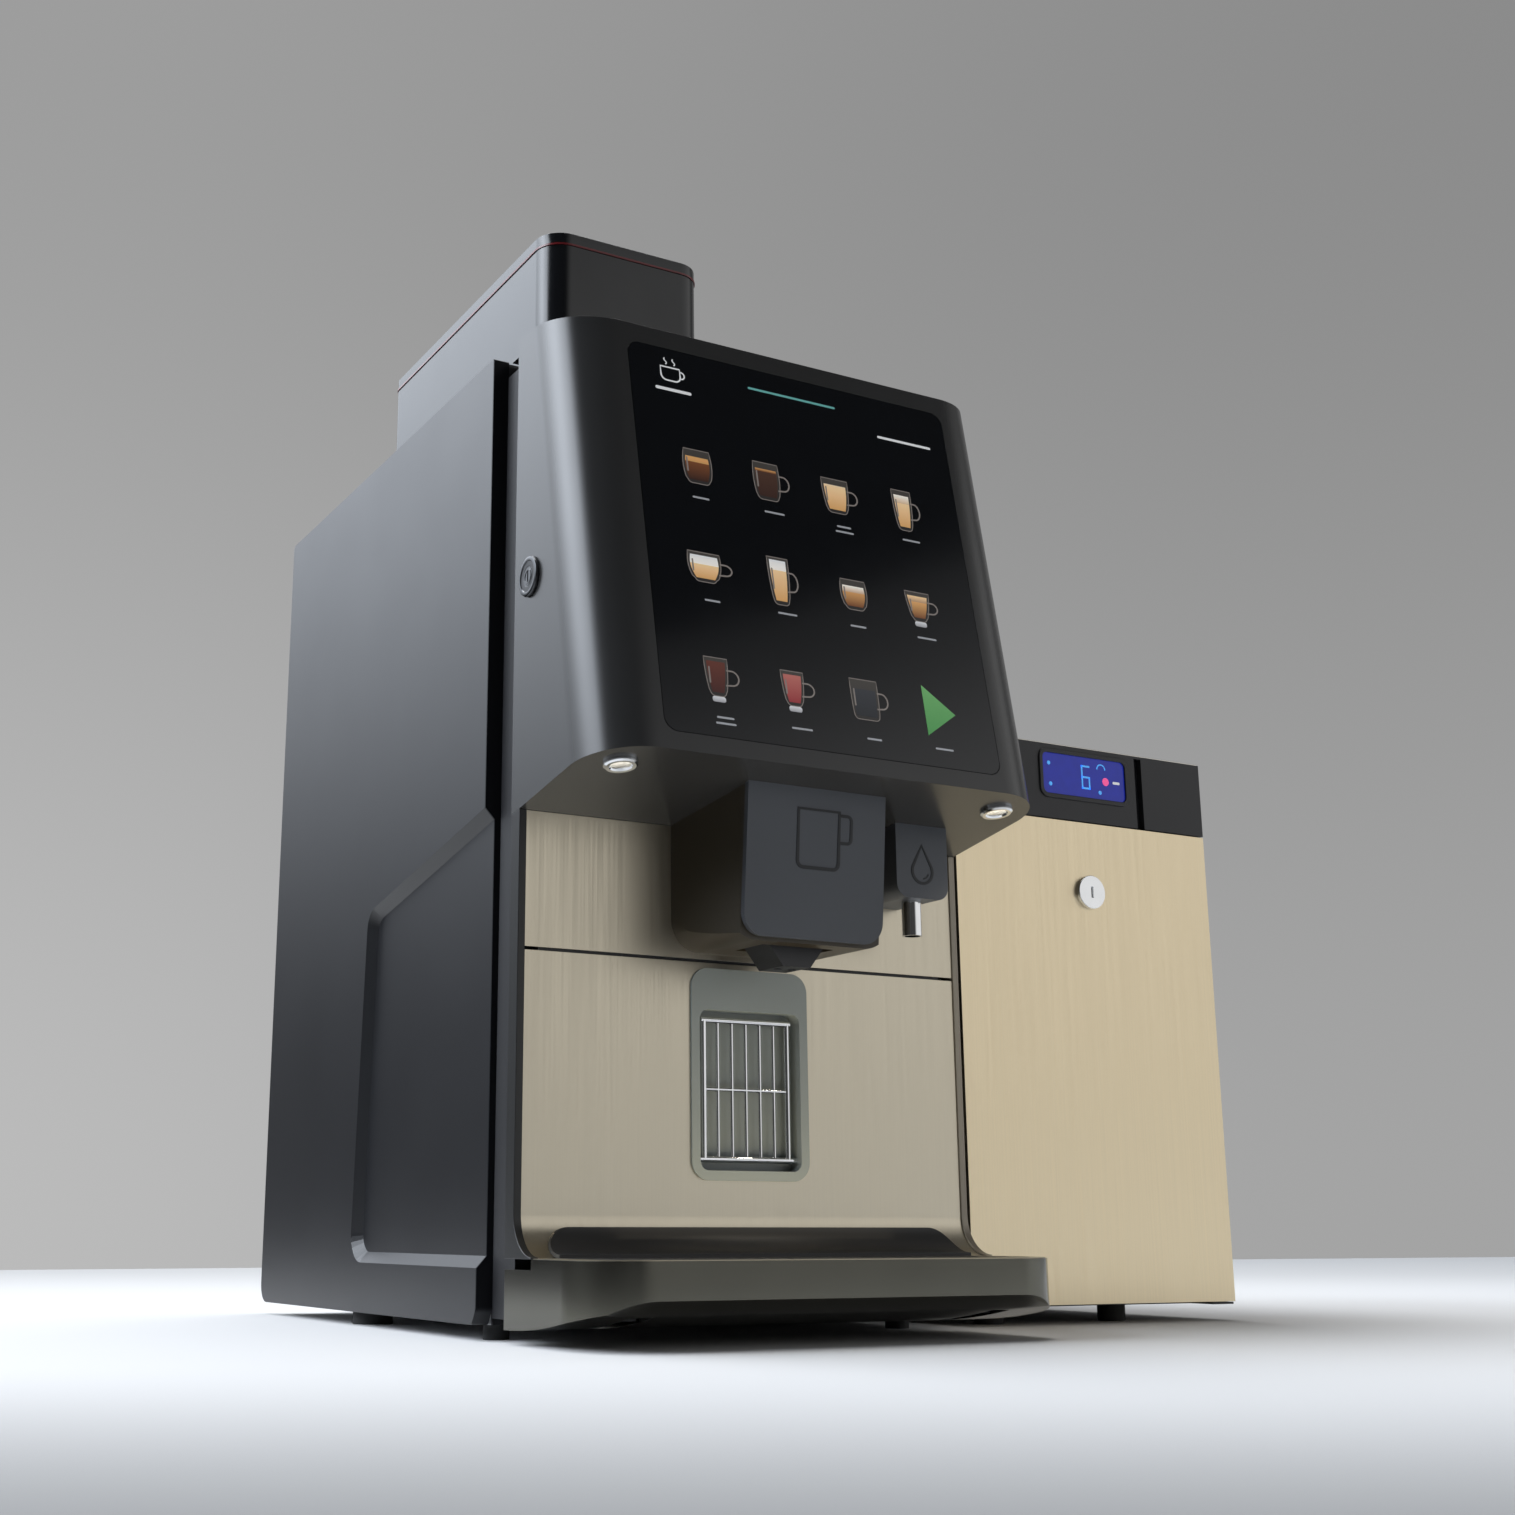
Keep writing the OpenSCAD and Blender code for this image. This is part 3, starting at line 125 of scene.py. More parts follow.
def bumped(tree, shader, height, strength, distance):
    """Adds a bump from a height value."""
    bump = tree.nodes.new("ShaderNodeBump")
    bump.inputs["Strength"].default_value = strength
    bump.inputs["Distance"].default_value = distance
    tree.links.new(height, bump.inputs["Height"])
    tree.links.new(bump.outputs["Normal"], shader.inputs["Normal"])


def shaded(color, factor):
    return tuple(min(1.0, c * factor) for c in color)


def textured(name, color, rough, grain=900, grain_bump=0.12, vary=0.06, metal=0.0, coat=0.0, spec=0.5):
    """Painted or moulded surface: fine grain, slow colour drift and uneven gloss."""
    mat, tree, shader = new_material(name)
    drift = noise(tree, 9, detail=2)
    varied = tinted(tree, drift, shaded(color, 1 - vary), shaded(color, 1 + vary))
    tree.links.new(varied, shader.inputs["Base Color"])
    fine = noise(tree, grain, detail=2)
    tree.links.new(ranged(tree, noise(tree, 14), rough - 0.012, rough + 0.015), shader.inputs["Roughness"])
    bumped(tree, shader, fine, grain_bump, 0.0002)
    shader.inputs["Metallic"].default_value = metal
    shader.inputs["Coat Weight"].default_value = coat
    shader.inputs["Specular IOR Level"].default_value = spec
    return mat


def brushed(name, color, rough, stretch, vary=0.07, bump=0.18, metal=1.0, aniso=0.5):
    """Brushed metal: long scratches along one axis."""
    mat, tree, shader = new_material(name)
    lines = noise(tree, 1, stretch, detail=4)
    varied = tinted(tree, lines, shaded(color, 1 - vary), shaded(color, 1 + vary))
    tree.links.new(varied, shader.inputs["Base Color"])
    tree.links.new(ranged(tree, lines, rough - 0.05, rough + 0.07), shader.inputs["Roughness"])
    bumped(tree, shader, lines, bump, 0.0001)
    shader.inputs["Metallic"].default_value = metal
    shader.inputs["Anisotropic"].default_value = aniso
    return mat


def polished(name, color, rough, metal=0.0, coat=0.0, smudge=0.05):
    """Polished surface whose gloss is broken only by faint smudges."""
    mat, tree, shader = new_material(name)
    drift = noise(tree, 25, detail=4)
    tree.links.new(ranged(tree, drift, rough, rough + smudge), shader.inputs["Roughness"])
    tree.links.new(tinted(tree, drift, shaded(color, 0.94), shaded(color, 1.06)), shader.inputs["Base Color"])
    shader.inputs["Metallic"].default_value = metal
    shader.inputs["Coat Weight"].default_value = coat
    return mat


def lit(name, color, strength, speckle=0.1):
    """A glowing surface."""
    mat, tree, shader = new_material(name)
    drift = noise(tree, 120)
    tree.links.new(tinted(tree, drift, shaded(color, 1 - speckle), color), shader.inputs["Emission Color"])
    tree.links.new(tinted(tree, drift, shaded(color, 0.4), shaded(color, 0.5)), shader.inputs["Base Color"])
    shader.inputs["Emission Strength"].default_value = strength
    shader.inputs["Roughness"].default_value = 0.3
    return mat


def picture(name, strength):
    """Pictures shown on a screen: the colours are in the mesh's own colour layer."""
    mat, tree, shader = new_material(name)
    layer = tree.nodes.new("ShaderNodeVertexColor")
    layer.layer_name = "Col"
    tree.links.new(layer.outputs["Color"], shader.inputs["Emission Color"])
    tree.links.new(layer.outputs["Color"], shader.inputs["Base Color"])
    shader.inputs["Emission Strength"].default_value = strength
    shader.inputs["Roughness"].default_value = 0.25
    return mat


def shaded_left_trims(name, dark, light, rough, edge):
    """Cheek colour with painted shade: black on the left of the edge for the shaded left cheek, champagne on
    its right.
    """
    mat = textured(name, dark, rough)
    tree = mat.node_tree
    shader = tree.nodes["Principled BSDF"]
    split = tree.nodes.new("ShaderNodeSeparateXYZ")
    tree.links.new(tree.nodes["Texture Coordinate"].outputs["Object"], split.inputs["Vector"])
    side = ranged(tree, split.outputs["X"], 0, 1, edge - 0.001, edge + 0.001)
    tree.links.new(tinted(tree, side, dark, light, 0, 1), shader.inputs["Base Color"])
    tree.links.new(ranged(tree, side, 0.0, 0.6, 0, 1), shader.inputs["Metallic"])
    return mat


def cut_edge(mat, edge):
    """Turns a paint dull and black in front of the edge, where the panel's cut front edge is."""
    tree = mat.node_tree
    shader = tree.nodes["Principled BSDF"]
    split = tree.nodes.new("ShaderNodeSeparateXYZ")
    tree.links.new(tree.nodes["Texture Coordinate"].outputs["Object"], split.inputs["Vector"])
    shine = ranged(tree, split.outputs["Y"], 0.05, 0.5, edge, edge + 0.0012)
    tree.links.new(shine, shader.inputs["Specular IOR Level"])
    return mat


VERTICAL = (1100, 1100, 9)
ALONG_X = (14, 900, 900)
MATS = {
    "graphite_paint": textured("graphite_paint", (0.022, 0.024, 0.030), 0.36, grain=1600, grain_bump=0.15),
    "side_paint": textured("side_paint", (0.012, 0.0125, 0.0145), 0.3, grain=1800, grain_bump=0.1),
    "door_paint": textured("door_paint", (0.028, 0.028, 0.028), 0.24, grain=1600, grain_bump=0.06, spec=0.55),
    "champagne_steel": brushed("champagne_steel", (0.6, 0.545, 0.43), 0.34, VERTICAL, vary=0.025, bump=0.05),
    "champagne_gold": brushed("champagne_gold", (0.8, 0.68, 0.47), 0.36, VERTICAL, vary=0.03, bump=0.05),
    # Painted shade: the left cheek is black and the right one champagne
    "champagne_trim": shaded_left_trims("champagne_trim", (0.006, 0.006, 0.006), (0.24, 0.215, 0.175), 0.4, ORIGIN.x),
    "dark_chrome": polished("dark_chrome", (0.07, 0.072, 0.076), 0.18, metal=1.0),
    "black_plastic": textured("black_plastic", (0.012, 0.012, 0.014), 0.45, grain=1300, grain_bump=0.2),
    "display_glass": polished("display_glass", (0.003, 0.004, 0.006), 0.07, smudge=0.03),
    "sheet_steel": brushed("sheet_steel", (0.56, 0.57, 0.58), 0.38, ALONG_X, vary=0.05),
    "chrome": polished("chrome", (0.8, 0.81, 0.82), 0.07, metal=1.0),
    "outlet_grey": textured("outlet_grey", (0.052, 0.058, 0.07), 0.42, grain=1500, grain_bump=0.12),
    "outlet_brown": textured("outlet_brown", (0.026, 0.02, 0.011), 0.42, grain=1500, grain_bump=0.12),
    "shelf_grey": textured("shelf_grey", (0.2, 0.225, 0.225), 0.42, grain=1400, grain_bump=0.1),
    "tray_olive": textured("tray_olive", (0.125, 0.121, 0.1), 0.14, grain=1800, grain_bump=0.02, metal=1.0),
    "grille_grey": textured("grille_grey", (0.02, 0.02, 0.021), 0.4, grain=1200, grain_bump=0.15),
    "smoked_plastic": polished("smoked_plastic", (0.006, 0.007, 0.009), 0.14),
    "white_plastic": textured("white_plastic", (0.72, 0.72, 0.69), 0.4, grain=900, vary=0.04),
    "canister_white": textured("canister_white", (0.76, 0.75, 0.7), 0.3, grain=500, vary=0.03),
    "milk_white": textured("milk_white", (0.82, 0.81, 0.76), 0.35, grain=300, vary=0.03, coat=0.2),
    "motor_grey": textured("motor_grey", (0.1, 0.11, 0.12), 0.45, metal=0.3),
    "silicone": textured("silicone", (0.6, 0.6, 0.57), 0.35, grain=500, vary=0.06),
    "foot_rubber": textured("foot_rubber", (0.012, 0.012, 0.012), 0.75, grain=1200, grain_bump=0.35),
    "boiler_steel": brushed("boiler_steel", (0.6, 0.61, 0.62), 0.28, ALONG_X, vary=0.05),
    "brass": textured("brass", (0.6, 0.44, 0.2), 0.3, metal=1.0, grain=700),
    "screen_blue": lit("screen_blue", (0.006, 0.02, 0.4), 0.42),
    "red_plastic": textured("red_plastic", (0.45, 0.03, 0.02), 0.3, coat=0.4),
    "lamp": lit("lamp", (1.0, 0.93, 0.8), 3.0, 0.02),
    "icons": picture("icons", 0.42),
    "icon_line": textured("icon_line", (0.004, 0.005, 0.007), 0.5),
    "deck": brushed("deck", (0.4, 0.36, 0.28), 0.36, ALONG_X, vary=0.05),
    "red_seal": polished("red_seal", (0.16, 0.012, 0.015), 0.2),
    "bright_trim": brushed("bright_trim", (0.75, 0.72, 0.66), 0.25, ALONG_X),
}

SLOT_OF = {s["node"]: s["material_slot"] for s in frame["record"]["subparts"]}


# ---- Mesh tools ---------------------------------------------------------------------

def smooth_by_angle(mesh, degrees=32):
    """Smooth shading with sharp edges kept."""
    mesh.polygons.foreach_set("use_smooth", [True] * len(mesh.polygons))
    mesh.set_sharp_from_angle(angle=math.radians(degrees))


def add_bevel(obj, width_mm, segments=3, degrees=30, weld=True):
    """Rounds an object's edges, after joining its split corners."""
    if weld:
        join = obj.modifiers.new("weld", "WELD")
        join.merge_threshold = 0.00001
    bevel = obj.modifiers.new("bevel", "BEVEL")
    bevel.width = width_mm * MM
    bevel.segments = segments
    bevel.limit_method = "ANGLE"
    bevel.angle_limit = math.radians(degrees)
    return bevel


def make_piece(name, verts, faces, material, body, smooth=True, bevel=0.0):
    """A mesh object in the row frame, riding on a body."""
    mesh = bpy.data.meshes.new(name)
    mesh.from_pydata([tuple(v) for v in verts], [], faces)
    mesh.validate()
    bm = bmesh.new()
    bm.from_mesh(mesh)
    bmesh.ops.recalc_face_normals(bm, faces=bm.faces)
    bm.to_mesh(mesh)
    bm.free()
    obj = bpy.data.objects.new(name, mesh)
    bpy.context.scene.collection.objects.link(obj)
    mesh.materials.append(MATS[material])
    if smooth:
        smooth_by_angle(mesh)
    if bevel:
        add_bevel(obj, bevel, 2, 40, weld=False)
    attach(obj, body)
    return obj


class Builder:
    """Collects closed solids into one mesh; place maps local millimetres to the row frame."""

    def __init__(self, place):
        self.place, self.verts, self.faces, self.colors = place, [], [], []

    def prism(self, outline, low, high, color=(1, 1, 1), top_color=None):
        """Extrudes a flat outline of (x, u) points from depth low to depth high."""
        start, n = len(self.verts), len(outline)
        u_lo, u_hi = min(p[1] for p in outline), max(p[1] for p in outline)
        for depth in (low, high):
            for x, u in outline:
                self.verts.append(self.place(x, depth, u))
                t = (u - u_lo) / max(u_hi - u_lo, 1e-6)
                self.colors.append(tuple(a + (b - a) * t for a, b in zip(color, top_color or color)))
        self.faces.append([start + i for i in range(n)])
        self.faces.append([start + n + i for i in reversed(range(n))])
        for i in range(n):
            j = (i + 1) % n
            self.faces.append([start + i, start + n + i, start + n + j, start + j])

    def stroke(self, points, width, low, high, color=(1, 1, 1), closed=False):
        """A line of that width through flat points, as a chain of prisms' outline."""
        n = len(points)
        left, right = [], []
        for i, p in enumerate(points):
            a = points[(i - 1) % n] if closed or i > 0 else p
            b = points[(i + 1) % n] if closed or i < n - 1 else p
            d = Vector((b[0] - a[0], b[1] - a[1])).normalized()
            left.append((p[0] - d.y * width / 2, p[1] + d.x * width / 2))
            right.append((p[0] + d.y * width / 2, p[1] - d.x * width / 2))
        count = n if closed else n - 1
        start = len(self.verts)
        for k in range(n):
            for q, depth in ((left[k], low), (right[k], low), (right[k], high), (left[k], high)):
                self.verts.append(self.place(q[0], depth, q[1]))
                self.colors.append(color)
        for k in range(count):
            a, b = start + 4 * k, start + 4 * ((k + 1) % n)
            for s in range(4):
                self.faces.append([a + s, a + (s + 1) % 4, b + (s + 1) % 4, b + s])
        if not closed:
            self.faces.append([start + s for s in range(4)])
            self.faces.append([start + 4 * (n - 1) + s for s in reversed(range(4))])

    def finish(self, name, material, body, bevel=0.0):
        obj = make_piece(name, self.verts, self.faces, material, body, bevel=bevel)
        if material == "icons":
            layer = obj.data.color_attributes.new("Col", "FLOAT_COLOR", "POINT")
            for i, c in enumerate(self.colors):
                layer.data[i].color = (*c, 1)
        return obj


def arc(cx, cy, r, start, end, steps=8, ry=None):
    """Points on an arc, angles in degrees."""
    ry = r if ry is None else ry
    return [(cx + r * math.cos(math.radians(start + (end - start) * i / steps)),
             cy + ry * math.sin(math.radians(start + (end - start) * i / steps))) for i in range(steps + 1)]


def round_box(x0, y0, x1, y1, r, steps=6):
    """Outline of a rounded rectangle."""
    return (arc(x1 - r, y0 + r, r, -90, 0, steps) + arc(x1 - r, y1 - r, r, 0, 90, steps)
            + arc(x0 + r, y1 - r, r, 90, 180, steps) + arc(x0 + r, y0 + r, r, 180, 270, steps))


def turned(name, profile, center, axis, material, body, sides=48):
    """A solid of revolution: profile is (radius, height) along axis, in millimetres; center is in metres."""
    axis = Vector(axis).normalized()
    side = axis.orthogonal().normalized()
    other = axis.cross(side)
    verts, faces = [], []
    for r, h in profile:
        for k in range(sides):
            a = 2 * math.pi * k / sides
            outward = side * math.cos(a) + other * math.sin(a)
            verts.append(center + axis * h * MM + outward * max(r, 0.01) * MM)
    rows = len(profile)
    for i in range(rows - 1):
        for k in range(sides):
            j = (k + 1) % sides
            faces.append([i * sides + k, i * sides + j, (i + 1) * sides + j, (i + 1) * sides + k])
    faces.append([k for k in reversed(range(sides))])
    faces.append([(rows - 1) * sides + k for k in range(sides)])
    return make_piece(name, verts, faces, material, body)


# ---- CAD nodes: finish and rounded edges --------------------------------------------

# Rounding of each node's edges in millimetres
EDGE = {"side_panel_left": 1.4, "side_panel_right": 1.4, "door_shell": 1.4, "drip_tray": 1.6,
        "outlet_housing": 1.0, "outlet_cover": 1.0, "water_cover": 1.0, "cooler_door": 1.2,
        "cooler_band": 1.0, "cooler_case": 1.5,
        "shelf_frame": 0.6, "hopper_lid": 1.6, "bean_hopper": 1.0, "grounds_bin": 1.2, "canisters": 1.2,
        "milk_container": 4.0, "door_frame": 0.6, "upper_splash": 0.4, "lower_splash": 0.4, "pump": 1.0,
        "hopper_gate": 0.5, "mains_inlet": 0.6, "power_switch": 0.5, "drip_grille": 0.4, "feet": 0.8,
        "spot_bezels": 0.4, "lock_housing": 0.8, "lock_cylinder": 0.3, "cooler_lock": 0.6, "side_trims": 0.5,
        "fan_frame": 0.8, "brewer_frame": 0.8, "grinder_housing": 0.8, "boiler": 1.5, "display_module": 0.8,
        "coffee_outlets": 0.8, "docking_duct": 0.8, "cooling_unit": 0.4}
# The embossed field's folds are shallow, so the side panels round every edge
SHALLOW = {"side_panel_left": 5, "side_panel_right": 5}
# Nodes that look different from their slot's finish; the steel front frame is made black as painted shade, so
# the gap round the door looks dark
OWN_FINISH = {"cooler_door": "champagne_gold", "side_panel_left": "side_paint",
              "side_panel_right": "side_paint", "canisters": "canister_white",
              "milk_container": "milk_white", "front_frame": "black_plastic",
              "lock_cylinder": "dark_chrome", "coffee_outlets": "black_plastic",
              "top_panel": "graphite_paint"}

cut_edge(MATS["side_paint"], LEFT_LO.y + 0.0006)
for node, obj in NODES.items():
    obj.data.materials.clear()
    obj.data.materials.append(MATS[OWN_FINISH.get(node, SLOT_OF[node])])
    if node in EDGE:
        obj.data.polygons.foreach_set("use_smooth", [True] * len(obj.data.polygons))
        add_bevel(obj, EDGE[node], degrees=SHALLOW.get(node, 30))
        even = obj.modifiers.new("even", "WEIGHTED_NORMAL")
        even.weight = 100
    else:
        smooth_by_angle(obj.data)


# ---- Door face ----------------------------------------------------------------------

# The face leans back from the lower front edge of the shell
SHELL_LO = local_box("door_shell")[0]
TILT = math.radians(10.3)
BROW_Y, BROW_Z = SHELL_LO.y, 334.0


def on_face(x, v, u):
    """A point on the door's face: x across, v into the door, u up the slope."""
    y = BROW_Y + v * math.cos(TILT) + u * math.sin(TILT)
    z = BROW_Z - v * math.sin(TILT) + u * math.cos(TILT)
    return at(x, y, z)


COLUMNS = (-79.5, -25.5, 27.5, 81)
ROWS = (197, 125, 51)
LABEL_DROP = 23
CREMA, COFFEE, DARK = (0.55, 0.28, 0.1), (0.16, 0.055, 0.02), (0.035, 0.014, 0.01)
MILK, TAN, FOAM = (0.8, 0.55, 0.3), (0.62, 0.33, 0.12), (0.85, 0.8, 0.72)
GLASS_LINE = (0.2, 0.175, 0.16)
GLASS_BODY = ((0.02, 0.018, 0.017), (0.05, 0.045, 0.04))
WHITE = (0.68, 0.69, 0.7)
LABEL = (0.3, 0.31, 0.33)


def tapered(cx, base, w0, w1, height, t0, t1, belly, foot_r=2.0, steps=6):
    """Part of a glass's outline between shares t0 and t1 of its height, its sides curved by belly."""
    def half(t):
        return (w0 + (w1 - w0) * t) / 2 + belly * math.sin(math.pi * min(1.0, 0.12 + 0.88 * t))
    shares = [t0 + (t1 - t0) * i / steps for i in range(steps + 1)]
    right = [(cx + half(t), base + height * t) for t in shares]
    left = [(cx - half(t), base + height * t) for t in reversed(shares)]
    if t0 > 0:
        return right + left
    r = min(foot_r, half(0) * 0.8)
    return (arc(cx - half(0) + r, base + r, r, 200, 270, 4) + arc(cx + half(0) - r, base + r, r, 270, 340, 4)
            + right[1:] + left[:-1])


def drink(b, column, row, w0, w1, height, layers, belly=1.5, handle=None, foot=False):
    """One drink: a glass with its layers of liquid, its wall, a shine, and maybe a handle and a foot."""
    cx, base = COLUMNS[column] - (3 if handle else 0), ROWS[row] - height / 2
    body = tapered(cx, base - 1.6, w0 + 3.4, w1 + 3.4, height + 3.4, 0, 1, belly, 3)
    b.prism(body, -0.09, -0.04, *GLASS_BODY)
    for t0, t1, low, high in layers:
        b.prism(tapered(cx, base, w0, w1, height, t0, t1, belly), -0.13, -0.05, low, high)
    wall = tapered(cx, base - 1.6, w0 + 3.4, w1 + 3.4, height + 3.4, 0, 1, belly, 3)
    b.stroke(wall, 0.5, -0.2, -0.05, GLASS_LINE, closed=True)
    shine = cx - (w0 + w1) / 4 - belly * 0.6
    glint = round_box(shine, base + height * 0.3, shine + 1.1, base + height * 0.8, 0.5, 3)
    b.prism(glint, -0.16, -0.1, GLASS_LINE)
    if handle:
        hx = cx + (w0 + w1) / 4 + belly + 1.2
        bow = arc(hx + handle * 0.6, base + height * 0.52, handle * 0.9, 80, -80, 12, ry=height * 0.22)
        ends = [(hx, base + height * 0.74)], [(hx - 1.2, base + height * 0.28)]
        b.stroke(ends[0] + bow + ends[1], 1.0, -0.2, -0.05, GLASS_LINE)
    if foot:
        b.prism(round_box(cx - w0 * 0.66, base - 5.4, cx + w0 * 0.66, base - 1.8, 1.4, 3), -0.18, -0.05,
                (0.3, 0.3, 0.32), (0.62, 0.63, 0.65))


def menu():
    """The drinks menu on the glass: twelve pictures, their label bars and a header."""
    b = Builder(on_face)
    drink(b, 0, 0, 11, 15, 21, [(0.04, 0.66, DARK, COFFEE), (0.66, 0.84, CREMA, TAN)], 2.2)
    drink(b, 1, 0, 11, 15, 24, [(0.04, 0.8, DARK, (0.06, 0.028, 0.018)), (0.8, 0.88, COFFEE, CREMA)], 1.6, 5)
    drink(b, 2, 0, 11, 17, 22, [(0.04, 0.78, TAN, MILK), (0.78, 0.88, MILK, (0.72, 0.56, 0.38))], 1.0, 5)
    drink(b, 3, 0, 7, 12, 27, [(0.04, 0.7, TAN, MILK), (0.7, 0.93, (0.6, 0.42, 0.25), FOAM)], 0.8, 4.5)
    drink(b, 0, 1, 10, 19, 17, [(0.05, 0.62, TAN, MILK), (0.62, 0.98, FOAM, WHITE)], 2.6, 5.5)
    drink(b, 1, 1, 7, 12, 30, [(0.04, 0.76, TAN, MILK), (0.76, 1.0, FOAM, WHITE)], 0.8, 4.5)
    drink(b, 2, 1, 9, 15, 18, [(0.05, 0.6, COFFEE, CREMA), (0.6, 0.86, (0.5, 0.33, 0.2), FOAM)], 2.4)
    drink(b, 3, 1, 7, 16, 18, [(0.06, 0.7, COFFEE, TAN), (0.7, 0.94, (0.4, 0.24, 0.14), MILK)], 0.8, 5, True)
    drink(b, 0, 2, 7, 13, 22, [(0.04, 0.97, (0.05, 0.012, 0.01), (0.11, 0.03, 0.02))], 0.8, 5.5, True)
    drink(b, 1, 2, 7, 13, 20, [(0.04, 0.97, (0.26, 0.03, 0.035), (0.42, 0.13, 0.11))], 0.8, 5.5, True)
    drink(b, 2, 2, 15, 17, 24, [(0.03, 0.8, (0.014, 0.016, 0.02), (0.03, 0.033, 0.04))], 0.4, 5)
    x, u = COLUMNS[3], ROWS[2]
    arrow = [(x - 11, u - 18), (x + 13, u - 1), (x - 11, u + 17)]
    b.prism(arrow, -0.14, -0.04, (0.06, 0.26, 0.07), (0.13, 0.36, 0.12))
    for c, cx in enumerate(COLUMNS):
        for r, row in enumerate(ROWS):
            drop = LABEL_DROP + (4 if r == 2 else 0)
            width = (12, 15, 11, 14)[(c + 2 * r) % 4]
            bar = round_box(cx - width / 2, row - drop, cx + width / 2, row - drop + 1.3, 0.6, 3)
            b.prism(bar, -0.12, -0.04, LABEL)
            if (c, r) in ((2, 0), (0, 2)):
                second = round_box(cx - 7, row - drop - 3.8, cx + 7, row - drop - 2.5, 0.6, 3)
                b.prism(second, -0.12, -0.04, LABEL)
    # Header: a steaming cup at the left and neutral bars
    cup = arc(-95, 262, 4, 180, 270, 5) + arc(-89, 262, 4, 270, 360, 5) + [(-85, 268), (-99, 268)]
    b.stroke(cup, 1.1, -0.12, -0.04, WHITE, closed=True)
    b.stroke(arc(-84.5, 263.5, 2.6, 90, -90, 8), 1.0, -0.12, -0.04, WHITE)
    for x in (-95, -89):
        b.stroke([(x + 0.9 * math.sin(k), 270 + k * 0.8) for k in range(7)], 0.8, -0.12, -0.04, WHITE)
    b.prism(round_box(-104, 250, -78, 252.2, 0.8, 3), -0.12, -0.04, WHITE)
    b.prism(round_box(-34, 266, 34, 267.6, 0.8, 3), -0.12, -0.04, (0.12, 0.36, 0.34))
    b.prism(round_box(66, 251, 110, 252.8, 0.9, 3), -0.12, -0.04, WHITE)
    return b.finish("menu_pictures", "icons", "door")


menu()


# ---- Lamps in the door's underside --------------------------------------------------

BEZEL_LO, BEZEL_HI = local_box("spot_bezels")
SPOT_X, SPOT_V = (BEZEL_HI.x - BEZEL_LO.x) / 2 - 10.5, 27
DOWN = on_face(0, 0, -1) - on_face(0, 0, 0)


def lamps():
    """A lens in each bezel and a small light below it."""
    for side, x in (("left", -SPOT_X), ("right", SPOT_X)):
        lens = [(0.01, 0), (3, 0.9), (5.2, 0.4), (6.4, -0.6), (6.4, -3), (0.01, -3)]
        turned(f"lamp_lens_{side}", lens, on_face(x, SPOT_V, -0.4), DOWN, "lamp", "door", 32)
        ring = [(6.45, 0), (7.2, 1.1), (9.2, 1.3), (10.4, 0.4), (10.4, 0), (6.45, 0)]
        turned(f"lamp_ring_{side}", ring, on_face(x, SPOT_V, -1.5), DOWN, "chrome", "door", 40)
        data = bpy.data.lights.new(f"spot_{side}", "SPOT")
        data.energy, data.spot_size, data.spot_blend = 0.3, math.radians(95), 1.0
        data.color, data.shadow_soft_size = (1.0, 0.9, 0.74), 0.006
        light = bpy.data.objects.new(f"spot_{side}", data)
        bpy.context.scene.collection.objects.link(light)
        light.location = on_face(x, SPOT_V, -4)
        light.rotation_euler = (DOWN + Vector((0, 0.25, 0)) * MM).to_track_quat("-Z", "Y").to_euler()
        light.parent = frame["bodies"]["door"]


lamps()


# ---- Signs on the two outlets -------------------------------------------------------

COVER_LO, COVER_HI = local_box("outlet_cover")
COVER_X = (COVER_LO.x + COVER_HI.x) / 2
COVER_FOOT_Y, COVER_FOOT_Z = -118, 236
LEAN = math.radians(5)
WATER_LO, WATER_HI = local_box("water_cover")
WATER_X = (WATER_LO.x + WATER_HI.x) / 2


def on_cover(x, v, u):
    """A point on the coffee outlet's leaning cover, u up from its lower edge."""
    y = COVER_FOOT_Y + v * math.cos(LEAN) - u * math.sin(LEAN)
    z = COVER_FOOT_Z + v * math.sin(LEAN) + u * math.cos(LEAN)
    return at(COVER_X + x, y, z)


def signs():
    """A cup and a drop, in dark lines just proud of the covers."""
    b = Builder(on_cover)
    cup = arc(-10, 48, 4, 180, 270, 5) + arc(12, 48, 4, 270, 360, 5) + [(16, 80), (-14, 80)]
    b.stroke(cup, 2.2, -0.35, 0.2, closed=True)
    handle = [(16.5, 78)] + arc(22, 75, 3, 90, 0, 4) + arc(22, 64, 3, 0, -90, 4) + [(16.5, 61)]
    b.stroke(handle, 2.0, -0.35, 0.2)
    b.finish("cup_sign", "icon_line", "door")
    b = Builder(lambda x, v, u: at(WATER_X + x, WATER_LO.y + v, u))
    drop = [(0, 309)] + arc(0, 292, 8, 20, -200, 18)
    b.stroke(drop, 1.9, -0.35, 0.2, closed=True)
    b.stroke(arc(0, 292, 5, -20, -80, 6), 0.9, -0.3, 0.2)
    b.finish("drop_sign", "icon_line", "door")


signs()


# ---- Door lock ----------------------------------------------------------------------

